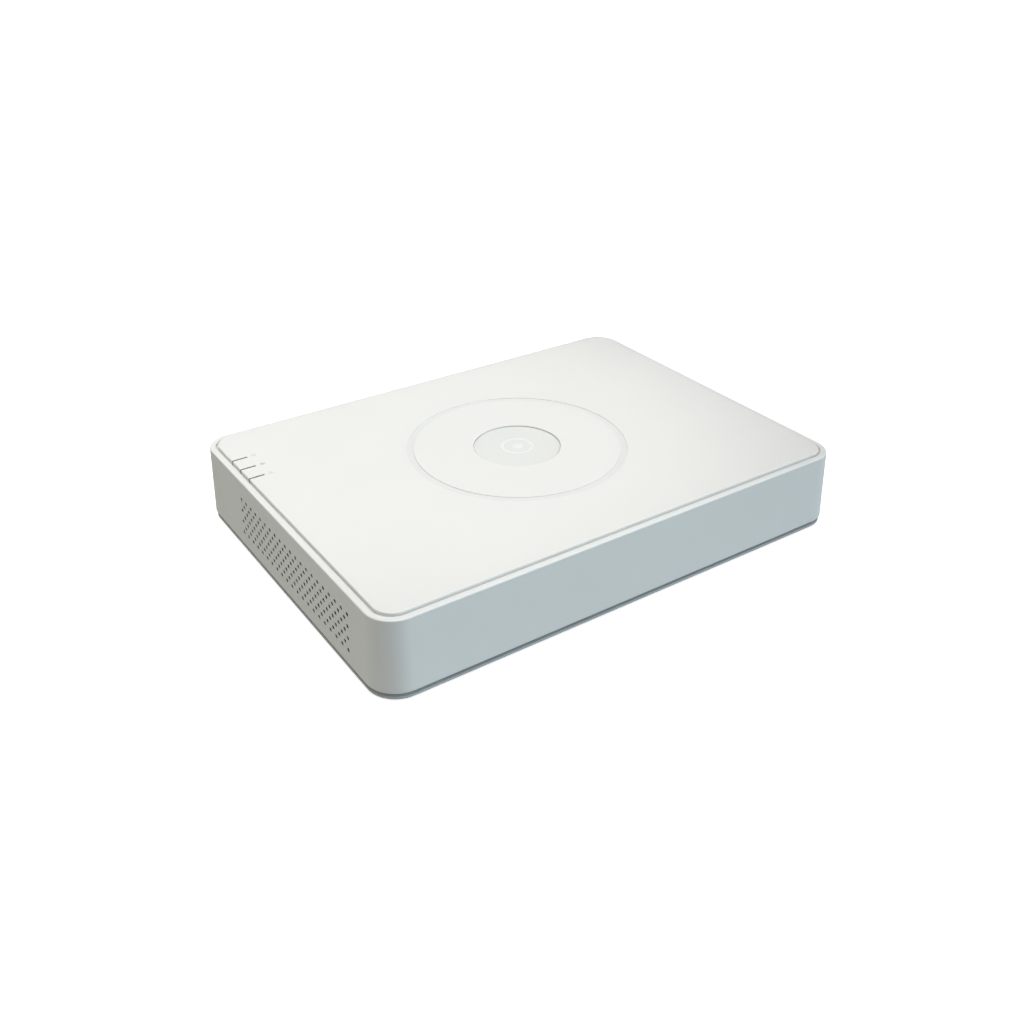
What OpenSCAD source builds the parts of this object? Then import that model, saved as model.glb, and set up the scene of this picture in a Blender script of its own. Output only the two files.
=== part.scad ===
// Compact video recorder: a two-part moulded case over a main board, a hard disk and a small fan.
// +Z is up, the feet stand on Z = 0, the plain long side faces -Y and the connectors face +Y.
// The origin is the middle of the whole footprint, connectors included.

/* [Case] */
// Width of the case at the foot of its walls
case_w = 285; // [284:1:300]
// Depth of the case at the foot of its walls, without the connectors
case_d = 210; // [209:1:220]
// Height from the table to the top panel
case_h = 45; // [44.5:0.5:52]
// Corner radius at the rim
corner_r = 14.4; // [13:0.1:16]
// How far each wall flares outwards from the rim to its foot
wall_flare = 1.8; // [1:0.1:2]
// Thickness of the moulded walls
wall_t = 2.2; // [1.8:0.1:2.4]
// Height of the rubber feet under the base
foot_h = 1.8; // [1:0.1:3]
// Air left between the lift-off cover and everything on the base
cover_gap = 0.35; // [0.3:0.05:0.5]

/* [Top panel] */
// Distance from the rim's outer edge to the panel's edge
panel_inset = 4.5; // [3.5:0.1:6]
// Thickness of the top panel
panel_t = 2.3; // [1.8:0.1:2.5]
// Width of the channel between the panel and the rim
channel_w = 1.2; // [0.8:0.1:1.6]
// How far the panel stands above the rim
panel_rise = 0.9; // [0.4:0.1:1.2]
// Middle radius of the round groove in the panel
groove_r = 58.45; // [45:0.05:70]
// Width of the round groove
groove_w = 3.9; // [2:0.1:5]
// Depth of the round groove
groove_depth = 0.5; // [0.3:0.05:0.8]
// Radius of the recess for the badge
badge_r = 24; // [18:0.5:30]

/* [Side vents] */
// Rows of vent holes
vent_rows = 7; // [3:1:7]
// Holes in each long row
vent_cols = 21; // [5:1:21]
// Distance between holes in a row
vent_pitch_y = 6.06; // [5:0.01:6.5]
// Distance between rows
vent_pitch_z = 3.28; // [2.6:0.01:3.4]
// Diameter of a vent hole
vent_d = 1.9; // [1.4:0.1:2.2]

/* [Indicator lights] */
// Distance between the three light slits
slit_pitch = 11.55; // [9:0.05:12]
// Length of a light slit from the panel's edge
slit_len = 8.5; // [6:0.1:10]
// Width of a light slit
slit_w = 1.2; // [0.8:0.1:1.6]

/* [Connectors] */
// Number of video sockets
video_count = 4; // [1:1:4]
// Distance between the video sockets
video_pitch = 18; // [16:0.5:18]
// How far a video socket stands out of the rear panel
video_reach = 9.5; // [8:0.5:12]

/* [Fan] */
// Side of the square fan
fan_size = 30; // [30:1:30]
// Thickness of the fan
fan_t = 10; // [10:1:10]
// Number of fan blades
fan_blades = 7; // [5:1:9]

/* [Hidden] */

$fn = 64;
eps = 0.01;

// Heights
base_z = foot_h;
plate_t = 2;
floor_z = base_z + plate_t;
band_top_z = base_z + 1.5;
skirt_z = band_top_z + 2.1;
rim_z = case_h - panel_rise;
deck_z = case_h - panel_t;
deck_t = 2;
ceiling_z = deck_z - deck_t;
lip_top_z = floor_z + 5;
foot_sink = 0.6;
screw_sink = 1.2;
disk_screw_sink = 2.6;

// Outline: every wall profile is measured outwards from the corner's centre
arc_x = case_w/2 - wall_flare - corner_r;
arc_y = case_d/2 - wall_flare - corner_r;
foot_r = corner_r + wall_flare;
base_r = foot_r - 0.5;
panel_r = corner_r - panel_inset;
rim_edge_r = 0.7;
flare_rate = wall_flare/(rim_z - skirt_z);
function wall_out(z) = corner_r + flare_rate*(rim_z - z);
function wall_in(z) = wall_out(z) - wall_t;
lip_out = wall_in(skirt_z) - 0.4;
lip_in = lip_out - 2;

// Rear panel and the frame's place: the origin is in the middle of the whole footprint
sheet_t = 1.2;
panel_face_y = arc_y + wall_in(36) - cover_gap;
sheet_y = panel_face_y - sheet_t;
sheet_top_z = 36;
sheet_w = 242;
notch_w = 238;
notch_top_z = 34.6;
rear_overhang = panel_face_y + video_reach - case_d/2;
case_y = -rear_overhang/2;

// Lights and vents
panel_left_x = -arc_x - panel_r;
slit_y0 = 58.4;
light_x = -131.5;
vent_y0 = 48.9;
vent_z0 = 33.1;

// Main board
board_z = 7;
board_t = 1.6;
board_top = board_z + board_t;
board_x0 = -134.5;
board_x1 = 117;
board_y0 = 12.5;
board_y1 = 98.2;
boss_x = arc_x + 0.4;
boss_y = arc_y - 0.6;
boss_r = 3.8;
rib_t = 1.5;
rib_x = arc_x + wall_in(lip_top_z) + 0.45 - boss_x;
rib_y = arc_y + wall_in(lip_top_z) + 0.45 - boss_y;
standoffs = [[-130, 18], [-130, 78], [-40, 56], [-22, 17.5], [48, 60], [112, 18], [112, 66], [48, 17.5]];

// Connector places along the rear panel
video_x0 = -97;
video_z = board_top + 9.4;
audio_x = [-24, -9.5];
audio_z = board_top + 7.6;
monitor_x = 13;
monitor_z = board_top + 6.8;
jackscrew_pitch = 25;
display_x = 41;
usb_x = [58.5, 75.5];
network_x = 93;
power_x = 110;
power_z = board_top + 6.4;
ground_x = -113;

// Hard disk
disk_w = 147;
disk_d = 101.6;
disk_h = 26.1;
disk_x0 = -26;
disk_y0 = -93.5;
disk_z0 = 6.8;
disk_top = disk_z0 + disk_h;
disk_floor = 12;
casting_z0 = disk_z0 + 1.6;
casting_top = disk_top - 1.2;
spindle = [disk_x0 + disk_w - 50.8, disk_y0 + disk_d/2];
arm_pivot = [spindle[0] - 52.2, spindle[1] - 20.3];
arm_len = 50;
arm_rest = 0.45;
platter_r = 47.5;
platter_z = [17, 21.4];
platter_t = 1.27;
mount_holes = [[14, 6], [14, disk_d - 6], [disk_w - 30, 6], [disk_w - 30, disk_d - 6]];
run_gap = 0.05;

// Fan
fan_x = -137.2;
fan_y = -12;
fan_z = floor_z + 1.4 + fan_size/2;
fan_hole_r = fan_size/2 - 1;
fan_hub_r = 7.4;

// Cable routes, in the case's own frame
data_route = [[-36, -6, 10.4], [-40, -6, 10.4], [-48, -5, 11.5], [-56, 0, 16], [-60, 8, 23], [-57, 17, 30],
  [-49, 23, 33], [-42.5, 24, 30], [-40.5, 24, 26], [-40.5, 24, 22.6]];
power_route = [[-39, -28, 10.6], [-44, -28, 10.6], [-54, -27, 11], [-68, -20, 14], [-77, -6, 20], [-80, 8, 26],
  [-76, 19, 29], [-69, 24, 27], [-66, 24, 22], [-66, 24, 17.6]];
fan_route = [[-132, 3, 27], [-132, 6, 27], [-130, 9, 26], [-126, 13, 24], [-119, 18, 22], [-112, 20.5, 20],
  [-110, 21, 17], [-110, 21, 13.8]];

// ---------- shared shapes ----------

// Everything is drawn around the case's own centre and moved to the frame here
module in_case() translate([0, case_y, 0]) children();

// Sweeps a profile round the case; the profile's x runs outwards from the corner's centre
module swept() {
  for (sx = [-1, 1], sy = [-1, 1])
    translate([sx*arc_x, sy*arc_y, 0])
      rotate([0, 0, sx > 0 ? (sy > 0 ? 0 : 270) : (sy > 0 ? 90 : 180)])
        rotate_extrude(angle = 90) children();
  for (s = [-1, 1]) {
    translate([s*arc_x, 0, 0]) rotate([90, 0, s > 0 ? 0 : 180])
      linear_extrude(2*arc_y, center = true) children();
    translate([0, s*arc_y, 0]) rotate([90, 0, s > 0 ? 90 : 270])
      linear_extrude(2*arc_x, center = true) children();
  }
}

// A plate of the case's outline, reaching r beyond the corner centres
module outline_plate(r, h) {
  for (sx = [-1, 1], sy = [-1, 1]) translate([sx*arc_x, sy*arc_y, 0]) cylinder(r = r, h = h);
  translate([-arc_x - r, -arc_y, 0]) cube([2*(arc_x + r), 2*arc_y, h]);
  translate([-arc_x, -arc_y - r, 0]) cube([2*arc_x, 2*(arc_y + r), h]);
}

// A box given by its middle in X, its start in Y and its foot in Z
module block(x, y, z, size) translate([x - size[0]/2, y, z]) cube(size);

// A square column with rounded corners, centred in X and Y
module round_square(side, r, h) {
  for (sx = [-1, 1], sy = [-1, 1])
    translate([sx*(side/2 - r), sy*(side/2 - r), 0]) cylinder(r = r, h = h, $fn = 32);
  translate([-side/2, -side/2 + r, 0]) cube([side, side - 2*r, h]);
  translate([-side/2 + r, -side/2, 0]) cube([side - 2*r, side, h]);
}

// A pan-head screw pointing down -Z from its head's underside, with a cross recess
module screw(r, len, head_r, head_h) {
  difference() {
    union() {
      translate([0, 0, -len]) cylinder(r = r, h = len + eps, $fn = 24);
      cylinder(r = head_r, h = head_h, $fn = 32);
    }
    for (a = [0, 90]) rotate([0, 0, a])
      translate([-head_r*0.6, -head_r*0.12, head_h*0.45]) cube([head_r*1.2, head_r*0.24, head_h]);
  }
}

function catmull(a, b, c, d, t) = 0.5*((2*b) + (c - a)*t + (2*a - 5*b + 4*c - d)*t*t + (3*b - a - 3*c + d)*t*t*t);
function smooth(route, steps) = concat(
  [for (i = [0 : len(route) - 2], k = [0 : steps - 1])
    catmull(route[max(i - 1, 0)], route[i], route[i + 1], route[min(i + 2, len(route) - 1)], k/steps)],
  [route[len(route) - 1]]);
function unit(v) = v/norm(v);

// Sweeps an eight-sided section, w wide along `side` and t thick, along a smoothed route
module cable(route, w, t, side, steps = 2) {
  path = smooth(route, steps);
  last = len(path) - 1;
  c = 0.4142;
  section = [[1, c], [c, 1], [-c, 1], [-1, c], [-1, -c], [-c, -1], [c, -1], [1, -c]];
  rings = [for (i = [0 : last])
    let (dir = unit(i == 0 ? route[1] - route[0]
           : i == last ? route[len(route) - 1] - route[len(route) - 2] : path[i + 1] - path[i - 1]),
         across = unit(cross(dir, side)), wide = cross(across, dir))
    [for (s = section) path[i] + wide*s[0]*w/2 + across*s[1]*t/2]];
  polyhedron(
    points = [for (r = rings, p = r) p],
    faces = concat([[for (k = [7 : -1 : 0]) k]], [[for (k = [0 : 7]) last*8 + k]],
      [for (i = [0 : last - 1], k = [0 : 7]) each [
        [i*8 + k, i*8 + (k + 1)%8, (i + 1)*8 + (k + 1)%8],
        [i*8 + k, (i + 1)*8 + (k + 1)%8, (i + 1)*8 + k]]]));
}

// ---------- case ----------

module base_tray() {
  color("gainsboro") in_case() difference() {
    union() {
      translate([0, 0, base_z]) outline_plate(base_r, band_top_z - base_z);
      translate([0, 0, base_z]) outline_plate(lip_out, plate_t);
      difference() {
        swept() translate([lip_in, base_z]) square([lip_out - lip_in, lip_top_z - base_z]);
        block(0, panel_face_y - 6, floor_z, [sheet_w + 2, 20, 20]);
      }
      for (p = standoffs) translate([p[0], p[1], floor_z - eps]) cylinder(r = 3, h = board_z - floor_z + eps);
      for (h = mount_holes) translate([disk_x0 + h[0], disk_y0 + h[1], floor_z - eps])
        cylinder(r = 4.5, h = disk_z0 - floor_z + eps);
      for (s = [-1, 1]) translate([fan_x - 0.2, fan_y + s*(fan_size/2 + 1.5) - 1.2, floor_z - eps])
        cube([fan_t + 2.4, 2.4, 18]);
      translate([fan_x + fan_t + 0.2, fan_y - fan_size/2 - 2.6, floor_z - eps]) cube([2, fan_size + 5.2, 6]);
      for (y = [-7, 7]) translate([fan_x + 1, fan_y + y - 1, floor_z - eps])
        cube([fan_t - 2, 2, fan_z - fan_size/2 - floor_z]);
    }
    for (p = standoffs) translate([p[0], p[1], floor_z + 0.4]) cylinder(r = 1.15, h = 6, $fn = 32);
    for (h = mount_holes) translate([disk_x0 + h[0], disk_y0 + h[1], 0]) {
      cylinder(r = 1.8, h = 12, $fn = 32);
      cylinder(r = 3.4, h = base_z + disk_screw_sink);
    }
    for (sx = [-1, 1], sy = [-1, 1]) translate([sx*boss_x, sy*boss_y, 0]) {
      cylinder(r = 1.7, h = 12, $fn = 32);
      cylinder(r = 3.4, h = base_z + screw_sink);
      translate([-sx*14, -sy*14, 0]) cylinder(r = 8.2, h = base_z + foot_sink);
    }
    for (sx = [-1, 1]) translate([sx*92, panel_face_y - 8, floor_z - 1.7]) cylinder(r = 1.15, h = 4, $fn = 32);
    for (i = [0 : 7], j = [0, 1]) translate([disk_x0 + 24 + i*12, disk_y0 + 22 + j*34, 0]) {
      cylinder(r = 1.4, h = 8, $fn = 32);
      translate([0, 20, 0]) cylinder(r = 1.4, h = 8, $fn = 32);
      translate([-1.4, 0, 0]) cube([2.8, 20, 8]);
    }
  }
}

module wall_profile() {
  difference() {
    union() {
      polygon([[lip_in - 1, skirt_z], [foot_r, skirt_z], [wall_out(rim_z - rim_edge_r), rim_z - rim_edge_r],
        [lip_in - 1, rim_z - rim_edge_r]]);
      translate([panel_r + channel_w, rim_z - rim_edge_r - eps])
        square([wall_out(rim_z) - rim_edge_r - panel_r - channel_w, rim_edge_r + eps]);
      intersection() {
        translate([wall_out(rim_z) - rim_edge_r, rim_z - rim_edge_r]) circle(rim_edge_r);
        translate([panel_r + channel_w, rim_z - rim_edge_r]) square([20, 5]);
      }
      translate([panel_r - 3, ceiling_z]) square([8, deck_t]);
    }
    polygon([[0, skirt_z - 1], [wall_in(skirt_z - 1), skirt_z - 1], [wall_in(ceiling_z), ceiling_z], [0, ceiling_z]]);
    translate([0, deck_z]) square([panel_r + channel_w, 5]);
    translate([0, ceiling_z - eps]) square([panel_r - 2, 10]);
  }
}

module light_slots(grow, z0, h) {
  for (i = [-1 : 1]) translate([panel_left_x - 4*grow, slit_y0 + i*slit_pitch - slit_w/2 - grow, z0])
    cube([slit_len + 5*grow, slit_w + 2*grow, h]);
}

module upper_case() {
  color("white") in_case() difference() {
    union() {
      swept() wall_profile();
      translate([0, 0, ceiling_z]) outline_plate(panel_r - 1.5, deck_t);
      for (sx = [-1, 1], sy = [-1, 1]) translate([sx*boss_x, sy*boss_y, lip_top_z + 1]) {
        cylinder(r = boss_r, h = ceiling_z - lip_top_z);
        translate([sx > 0 ? 0 : -rib_x, -rib_t/2, 3]) cube([rib_x, rib_t, ceiling_z - lip_top_z - 3]);
        translate([-rib_t/2, sy > 0 ? 0 : -rib_y, 3]) cube([rib_t, rib_y, ceiling_z - lip_top_z - 3]);
      }
      for (x = [-60, 0, 60]) translate([x - 0.8, -88, ceiling_z - 2]) cube([1.6, 176, 2.5]);
      for (y = [-60, 0, 60]) translate([-125, y - 0.8, ceiling_z - 2]) cube([250, 1.6, 2.5]);
    }
    for (row = [0 : vent_rows - 1], i = [0 : vent_cols - 1 - row%2])
      translate([-case_w/2 - 1, vent_y0 - (i + (row%2)/2)*vent_pitch_y, vent_z0 - row*vent_pitch_z])
        rotate([0, 90, 0]) cylinder(d = vent_d, h = 8, $fn = 20);
    block(0, arc_y - 5, skirt_z - 1, [notch_w, 30, notch_top_z - skirt_z + 1]);
    for (sx = [-1, 1], sy = [-1, 1]) translate([sx*boss_x, sy*boss_y, lip_top_z]) cylinder(r = 1.25, h = 16, $fn = 32);
    light_slots(0, ceiling_z - 1, 4);
    translate([0, 0, ceiling_z - 3]) cylinder(r = 12, h = 8);
  }
}

module top_panel() {
  edge_r = 0.5;
  groove_arc = (groove_w*groove_w/4 + groove_depth*groove_depth)/(2*groove_depth);
  color("white") in_case() difference() {
    union() {
      translate([0, 0, deck_z]) outline_plate(panel_r - edge_r, panel_t);
      swept() {
        translate([panel_r - edge_r - 1, deck_z]) square([edge_r + 1, panel_t - edge_r]);
        intersection() {
          translate([panel_r - edge_r, case_h - edge_r]) circle(edge_r);
          translate([panel_r - edge_r - 1, case_h - edge_r - eps]) square([5, 5]);
        }
      }
    }
    rotate_extrude($fn = 128) translate([groove_r, case_h + groove_arc - groove_depth]) circle(groove_arc, $fn = 64);
    translate([0, 0, case_h - 1.4]) cylinder(r = badge_r, h = 5, $fn = 96);
    translate([0, 0, deck_z - 1]) cylinder(r = 6, h = 5);
    light_slots(0, deck_z - 1, 5);
  }
}

module badge_disc() {
  color("whitesmoke") in_case() translate([0, 0, case_h - 1.4]) {
    cylinder(r = badge_r - 0.5, h = 0.9, $fn = 96);
    translate([0, 0, -deck_t - 0.6]) cylinder(r = 5.6, h = deck_t + 0.7);
  }
}

module light_guide() {
  color("lightcyan", 0.8) in_case() {
    for (i = [-1 : 1]) translate([0, slit_y0 + i*slit_pitch, 0]) {
      translate([panel_left_x + 0.05, -slit_w/2 + 0.05, ceiling_z - 0.1])
        cube([slit_len - 0.1, slit_w - 0.1, case_h - ceiling_z]);
      translate([light_x, 0, board_top + 2.8]) cylinder(r = 1.6, h = ceiling_z - board_top - 3.4);
    }
    translate([panel_left_x + 0.4, slit_y0 - slit_pitch - 3, ceiling_z - 1.3])
      cube([slit_len - 0.4, 2*slit_pitch + 6, 1.25]);
  }
}

module rubber_feet() {
  color("dimgray") in_case() for (sx = [-1, 1], sy = [-1, 1])
    translate([sx*(boss_x - 14), sy*(boss_y - 14), 0]) cylinder(r = 8, h = base_z + foot_sink);
}

module case_screws() {
  color("silver") in_case() for (sx = [-1, 1], sy = [-1, 1])
    translate([sx*boss_x, sy*boss_y, base_z + screw_sink]) mirror([0, 0, 1]) screw(1.2, 15, 2.9, 1.5);
}

// ---------- rear panel and its connectors ----------

module panel_openings() {
  for (i = [0 : video_count - 1]) translate([video_x0 + i*video_pitch, video_z]) circle(5.7);
  for (x = audio_x) translate([x, audio_z]) circle(4.5);
  translate([monitor_x - 9, monitor_z - 4.7]) square([18, 9.4]);
  for (s = [-1, 1]) translate([monitor_x + s*jackscrew_pitch/2, monitor_z]) circle(1.8);
  translate([display_x - 7.8, board_top - 0.1]) square([15.6, 6.6]);
  for (x = usb_x) translate([x - 7.5, board_top - 0.1]) square([15, 7.6]);
  translate([network_x - 8.2, board_top - 0.3]) square([16.4, 14.1]);
  translate([power_x - 4.8, board_top + 0.6]) square([9.6, 10.8]);
  translate([ground_x, video_z]) circle(1.6, $fn = 32);
}

module rear_panel() {
  color("lightgray") in_case() difference() {
    union() {
      translate([0, panel_face_y, 0]) rotate([90, 0, 0]) linear_extrude(sheet_t) difference() {
        translate([-sheet_w/2, floor_z]) square([sheet_w, sheet_top_z - floor_z]);
        panel_openings();
      }
      block(0, panel_face_y - 14, floor_z, [sheet_w - 26, 14 - sheet_t + eps, sheet_t]);
    }
    for (sx = [-1, 1]) translate([sx*92, panel_face_y - 8, 0]) cylinder(r = 1.7, h = 12, $fn = 32);
  }
}

module panel_screws() {
  color("silver") in_case() for (sx = [-1, 1])
    translate([sx*92, panel_face_y - 8, floor_z + sheet_t + eps]) screw(1.1, 2.8, 2.2, 1.1);
}

module ground_screw() {
  color("gold") in_case() translate([ground_x, panel_face_y + eps, video_z]) rotate([-90, 0, 0])
    screw(1.5, 5, 3, 2);
}

module video_socket(i) {
  body_len = 13.5;
  color("silver") in_case() translate([video_x0 + (i - 1)*video_pitch, sheet_y - 0.15, video_z]) difference() {
    union() {
      block(0, -body_len, board_top - video_z, [14.4, body_len, video_z - board_top + 7.2]);
      rotate([-90, 0, 0]) {
        cylinder(r = 5.5, h = 3.2);
        cylinder(r = 4.8, h = video_reach + sheet_t + 0.15);
        translate([0, 0, 7.3]) rotate([90, 0, 0]) cylinder(r = 1, h = 11, center = true, $fn = 24);
      }
    }
    rotate([-90, 0, 0]) translate([0, 0, 1.2]) cylinder(r = 4.05, h = 20);
    rotate([90, 0, 0]) translate([0, 0, -2]) cylinder(r = 2.2, h = body_len - 1);
  }
}

module video_insulators() {
  color("ivory") in_case() for (i = [0 : video_count - 1])
    translate([video_x0 + i*video_pitch, sheet_y - 8, video_z]) rotate([-90, 0, 0]) difference() {
      cylinder(r = 2.2, h = 16.4);
      translate([0, 0, -1]) cylinder(r = 0.8, h = 20, $fn = 24);
    }
}

module video_contacts() {
  color("gold") in_case() for (i = [0 : video_count - 1])
    translate([video_x0 + i*video_pitch, sheet_y - 8, video_z]) rotate([-90, 0, 0]) difference() {
      cylinder(r = 0.8, h = 15.6, $fn = 24);
      translate([0, 0, 10]) cylinder(r = 0.45, h = 8, $fn = 24);
    }
}

module audio_socket(k) {
  color("silver") in_case() translate([audio_x[k], sheet_y - 0.15, audio_z]) {
    difference() {
      union() {
        block(0, -12, board_top - audio_z, [10.4, 12, audio_z - board_top + 5.4]);
        rotate([-90, 0, 0]) cylinder(r = 4.4, h = sheet_t + 0.15);
        rotate([-90, 0, 0]) cylinder(r = 4.15, h = 9.6);
      }
      rotate([-90, 0, 0]) translate([0, 0, -10]) cylinder(r = 3.6, h = 24);
    }
  }
}

module audio_insulators() {
  for (k = [0, 1]) color(k == 0 ? "firebrick" : "ghostwhite") in_case()
    translate([audio_x[k], sheet_y - 10.15, audio_z]) rotate([-90, 0, 0]) difference() {
      cylinder(r = 3.6, h = 18.6);
      translate([0, 0, 5]) cylinder(r = 1.65, h = 24, $fn = 32);
    }
}

// A plug face outline: wider at the top than at the foot, as a monitor plug is
module keyed_outline(w, h, slope) {
  polygon([[-w/2, h/2], [-w/2 + slope, -h/2], [w/2 - slope, -h/2], [w/2, h/2]]);
}

module monitor_shell() {
  color("silver") in_case() translate([monitor_x, sheet_y - 0.15, monitor_z]) rotate([90, 0, 0]) difference() {
    union() {
      translate([0, 0, -1.35 - 5.9]) linear_extrude(7.3) keyed_outline(17, 8.4, 1.6);
      translate([-15.5, -6.2, 0]) cube([31, 12.4, 0.8]);
      translate([-9.5, board_top - monitor_z, 0]) cube([19, 12.4, 11]);
    }
    translate([0, 0, -12]) linear_extrude(20) keyed_outline(16.2, 7.6, 1.5);
    for (s = [-1, 1]) translate([s*jackscrew_pitch/2, 0, -1]) cylinder(r = 1.8, h = 3);
  }
}

module monitor_insert() {
  color("navy") in_case() translate([monitor_x, panel_face_y + 5.1, monitor_z]) rotate([90, 0, 0]) difference() {
    linear_extrude(13.4) keyed_outline(16.1, 7.5, 1.48);
    for (row = [-1 : 1], i = [-2 : 2])
      translate([i*2.29 + (row == 0 ? 0.6 : 0), row*1.98, -1]) cylinder(r = 0.5, h = 9, $fn = 16);
  }
}

module monitor_jackscrews() {
  color("silver") in_case() for (s = [-1, 1])
    translate([monitor_x + s*jackscrew_pitch/2, sheet_y - 6, monitor_z]) rotate([-90, 0, 0]) difference() {
      union() {
        cylinder(r = 1.5, h = 8, $fn = 32);
        translate([0, 0, 6 + sheet_t]) cylinder(r = 2.85, h = 4.8, $fn = 6);
      }
      translate([0, 0, 4]) cylinder(r = 1.2, h = 12, $fn = 32);
    }
}

module display_shell() {
  color("silver") in_case() translate([display_x, panel_face_y + 0.5, board_top + 0.1]) rotate([90, 0, 0]) difference() {
    linear_extrude(12) polygon([[-7.5, 6.2], [-7.5, 1.8], [-5.4, 0], [5.4, 0], [7.5, 1.8], [7.5, 6.2]]);
    translate([0, 0, -1]) linear_extrude(11.5) polygon([[-7, 5.7], [-7, 2], [-5.2, 0.5], [5.2, 0.5], [7, 2], [7, 5.7]]);
  }
}

module display_tongue() {
  color("dimgray") in_case() block(display_x, panel_face_y - 9.95, board_top + 2.9, [10.4, 9.2, 1.4]);
}

module usb_shell(k) {
  color("silver") in_case() translate([usb_x[k], panel_face_y + 0.5, board_top + 0.1]) difference() {
    block(0, -14, 0, [14.2, 14, 7.2]);
    block(0, -13, 0.7, [12.8, 20, 5.8]);
  }
}

module usb_tongues() {
  color("dimgray") in_case() for (k = [0, 1])
    block(usb_x[k], panel_face_y - 12.45, board_top + 4.1, [11.2, 11.8, 1.9]);
}

module network_socket() {
  color("silver") in_case() translate([network_x, panel_face_y + 0.6, board_top]) difference() {
    block(0, -21, 0, [16, 21, 13.5]);
    block(0, -12.5, 2.9, [11.8, 20, 8.3]);
    block(0, -12.5, 1.4, [6.2, 20, 2]);
  }
}

module network_contacts() {
  color("gold") in_case() for (i = [0 : 7])
    block(network_x + (i - 3.5)*1.02, panel_face_y - 11.85, board_top + 10.4, [0.5, 9, 0.75]);
}

module power_socket() {
  color("dimgray") in_case() translate([power_x, panel_face_y + 0.3, board_top]) difference() {
    union() {
      block(0, -14, 0.9, [9, 14, 10.4]);
      block(0, -14, 0, [9, 12, 2]);
    }
    translate([0, 0.5, power_z - board_top]) rotate([90, 0, 0]) cylinder(r = 3.1, h = 10.5);
  }
}

module power_pin() {
  color("silver") in_case() translate([power_x, panel_face_y - 9.7, power_z]) rotate([-90, 0, 0])
    cylinder(r = 1.05, h = 8.4, $fn = 32);
}

// ---------- main board ----------

module main_board() {
  color("darkgreen") in_case() difference() {
    translate([board_x0, board_y0, board_z]) cube([board_x1 - board_x0, board_y1 - board_y0, board_t]);
    translate([board_x0 - 1, 80, 0]) cube([14, 30, 20]);
    for (p = standoffs) translate([p[0], p[1], 0]) cylinder(r = 1.6, h = 20, $fn = 32);
  }
}

module board_screws() {
  color("silver") in_case() for (p = standoffs) translate([p[0], p[1], board_top + eps]) screw(1.1, 4.2, 2.6, 1.6);
}

module on_board(x, y) in_case() translate([x, y, board_top]) children();
chip_xy = [-78, 52];

module main_chip() color("black") on_board(chip_xy[0], chip_xy[1]) translate([-12, -12, 0.1]) cube([24, 24, 1.9]);

module heat_sink() {
  color("dimgray") on_board(chip_xy[0], chip_xy[1]) translate([-19, -19, 2.05]) difference() {
    cube([38, 38, 12]);
    for (i = [0 : 8]) translate([1.6 + i*3.98, -1, 2.2]) cube([2.6, 40, 12]);
  }
}

module memory_chips() color("black") for (y = [36, 54]) on_board(-50, y) translate([-5, -6.5, 0.1]) cube([10, 13, 1.2]);

module video_chips() color("black") for (x = [-88, -52]) on_board(x, 76.5) translate([-6, -5, 0.1]) cube([12, 10, 1.4]);

module network_transformer() color("black") on_board(93, 66) translate([-7.5, -4.8, 0.1]) cube([15, 9.6, 5.6]);

module capacitors() {
  color("slategray") for (p = [[66, 40], [76, 40], [66, 51], [102, 52], [30, 66]]) on_board(p[0], p[1]) {
    cylinder(r = 4, h = 10.5);
    translate([-4.3, -4.3, 0]) cube([8.6, 8.6, 0.9]);
  }
}

module inductors() {
  color("dimgray") for (p = [[84, 30], [98, 30], [56, 30]]) on_board(p[0], p[1])
    translate([0, 0, 0.1]) round_square(9, 1.5, 4.4);
}

cell_xy = [8, 44];
module cell_holder() {
  color("black") on_board(cell_xy[0], cell_xy[1]) difference() {
    union() {
      cylinder(r = 12, h = 4.6);
      translate([-8, -13.4, 0]) cube([16, 26.8, 3.6]);
    }
    translate([0, 0, 1.2]) cylinder(r = 10.1, h = 8);
  }
}

module coin_cell() color("silver") on_board(cell_xy[0], cell_xy[1]) translate([0, 0, 1.25]) cylinder(r = 10, h = 3.2);

module buzzer() color("black") on_board(-112, 42) difference() {
  cylinder(r = 6, h = 8.5);
  translate([0, 0, 5]) cylinder(r = 1.2, h = 5, $fn = 32);
}

module status_lights() color("palegreen") for (i = [-1 : 1]) on_board(light_x, slit_y0 + i*slit_pitch) {
  translate([-1.6, -1, 0]) cube([3.2, 2, 0.8]);
  translate([-1, -1, 0.8]) cube([2, 2, 1.1]);
}

module board_headers() color("ivory") {
  on_board(-40.5, 24) translate([-4, -8, 0]) cube([8, 16, 5]);
  on_board(-66, 24) translate([-4, -6.5, 0]) cube([8, 13, 3]);
  on_board(-110, 21) translate([-2.6, -4, 0]) cube([5.2, 8, 1.6]);
}

// ---------- hard disk ----------

module disk_cavity() {
  translate([spindle[0], spindle[1], disk_floor]) cylinder(r = platter_r + 1.2, h = 40, $fn = 96);
  translate([disk_x0 + 11, disk_y0 + 4, disk_floor]) cube([64, 58, 40]);
}

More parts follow.
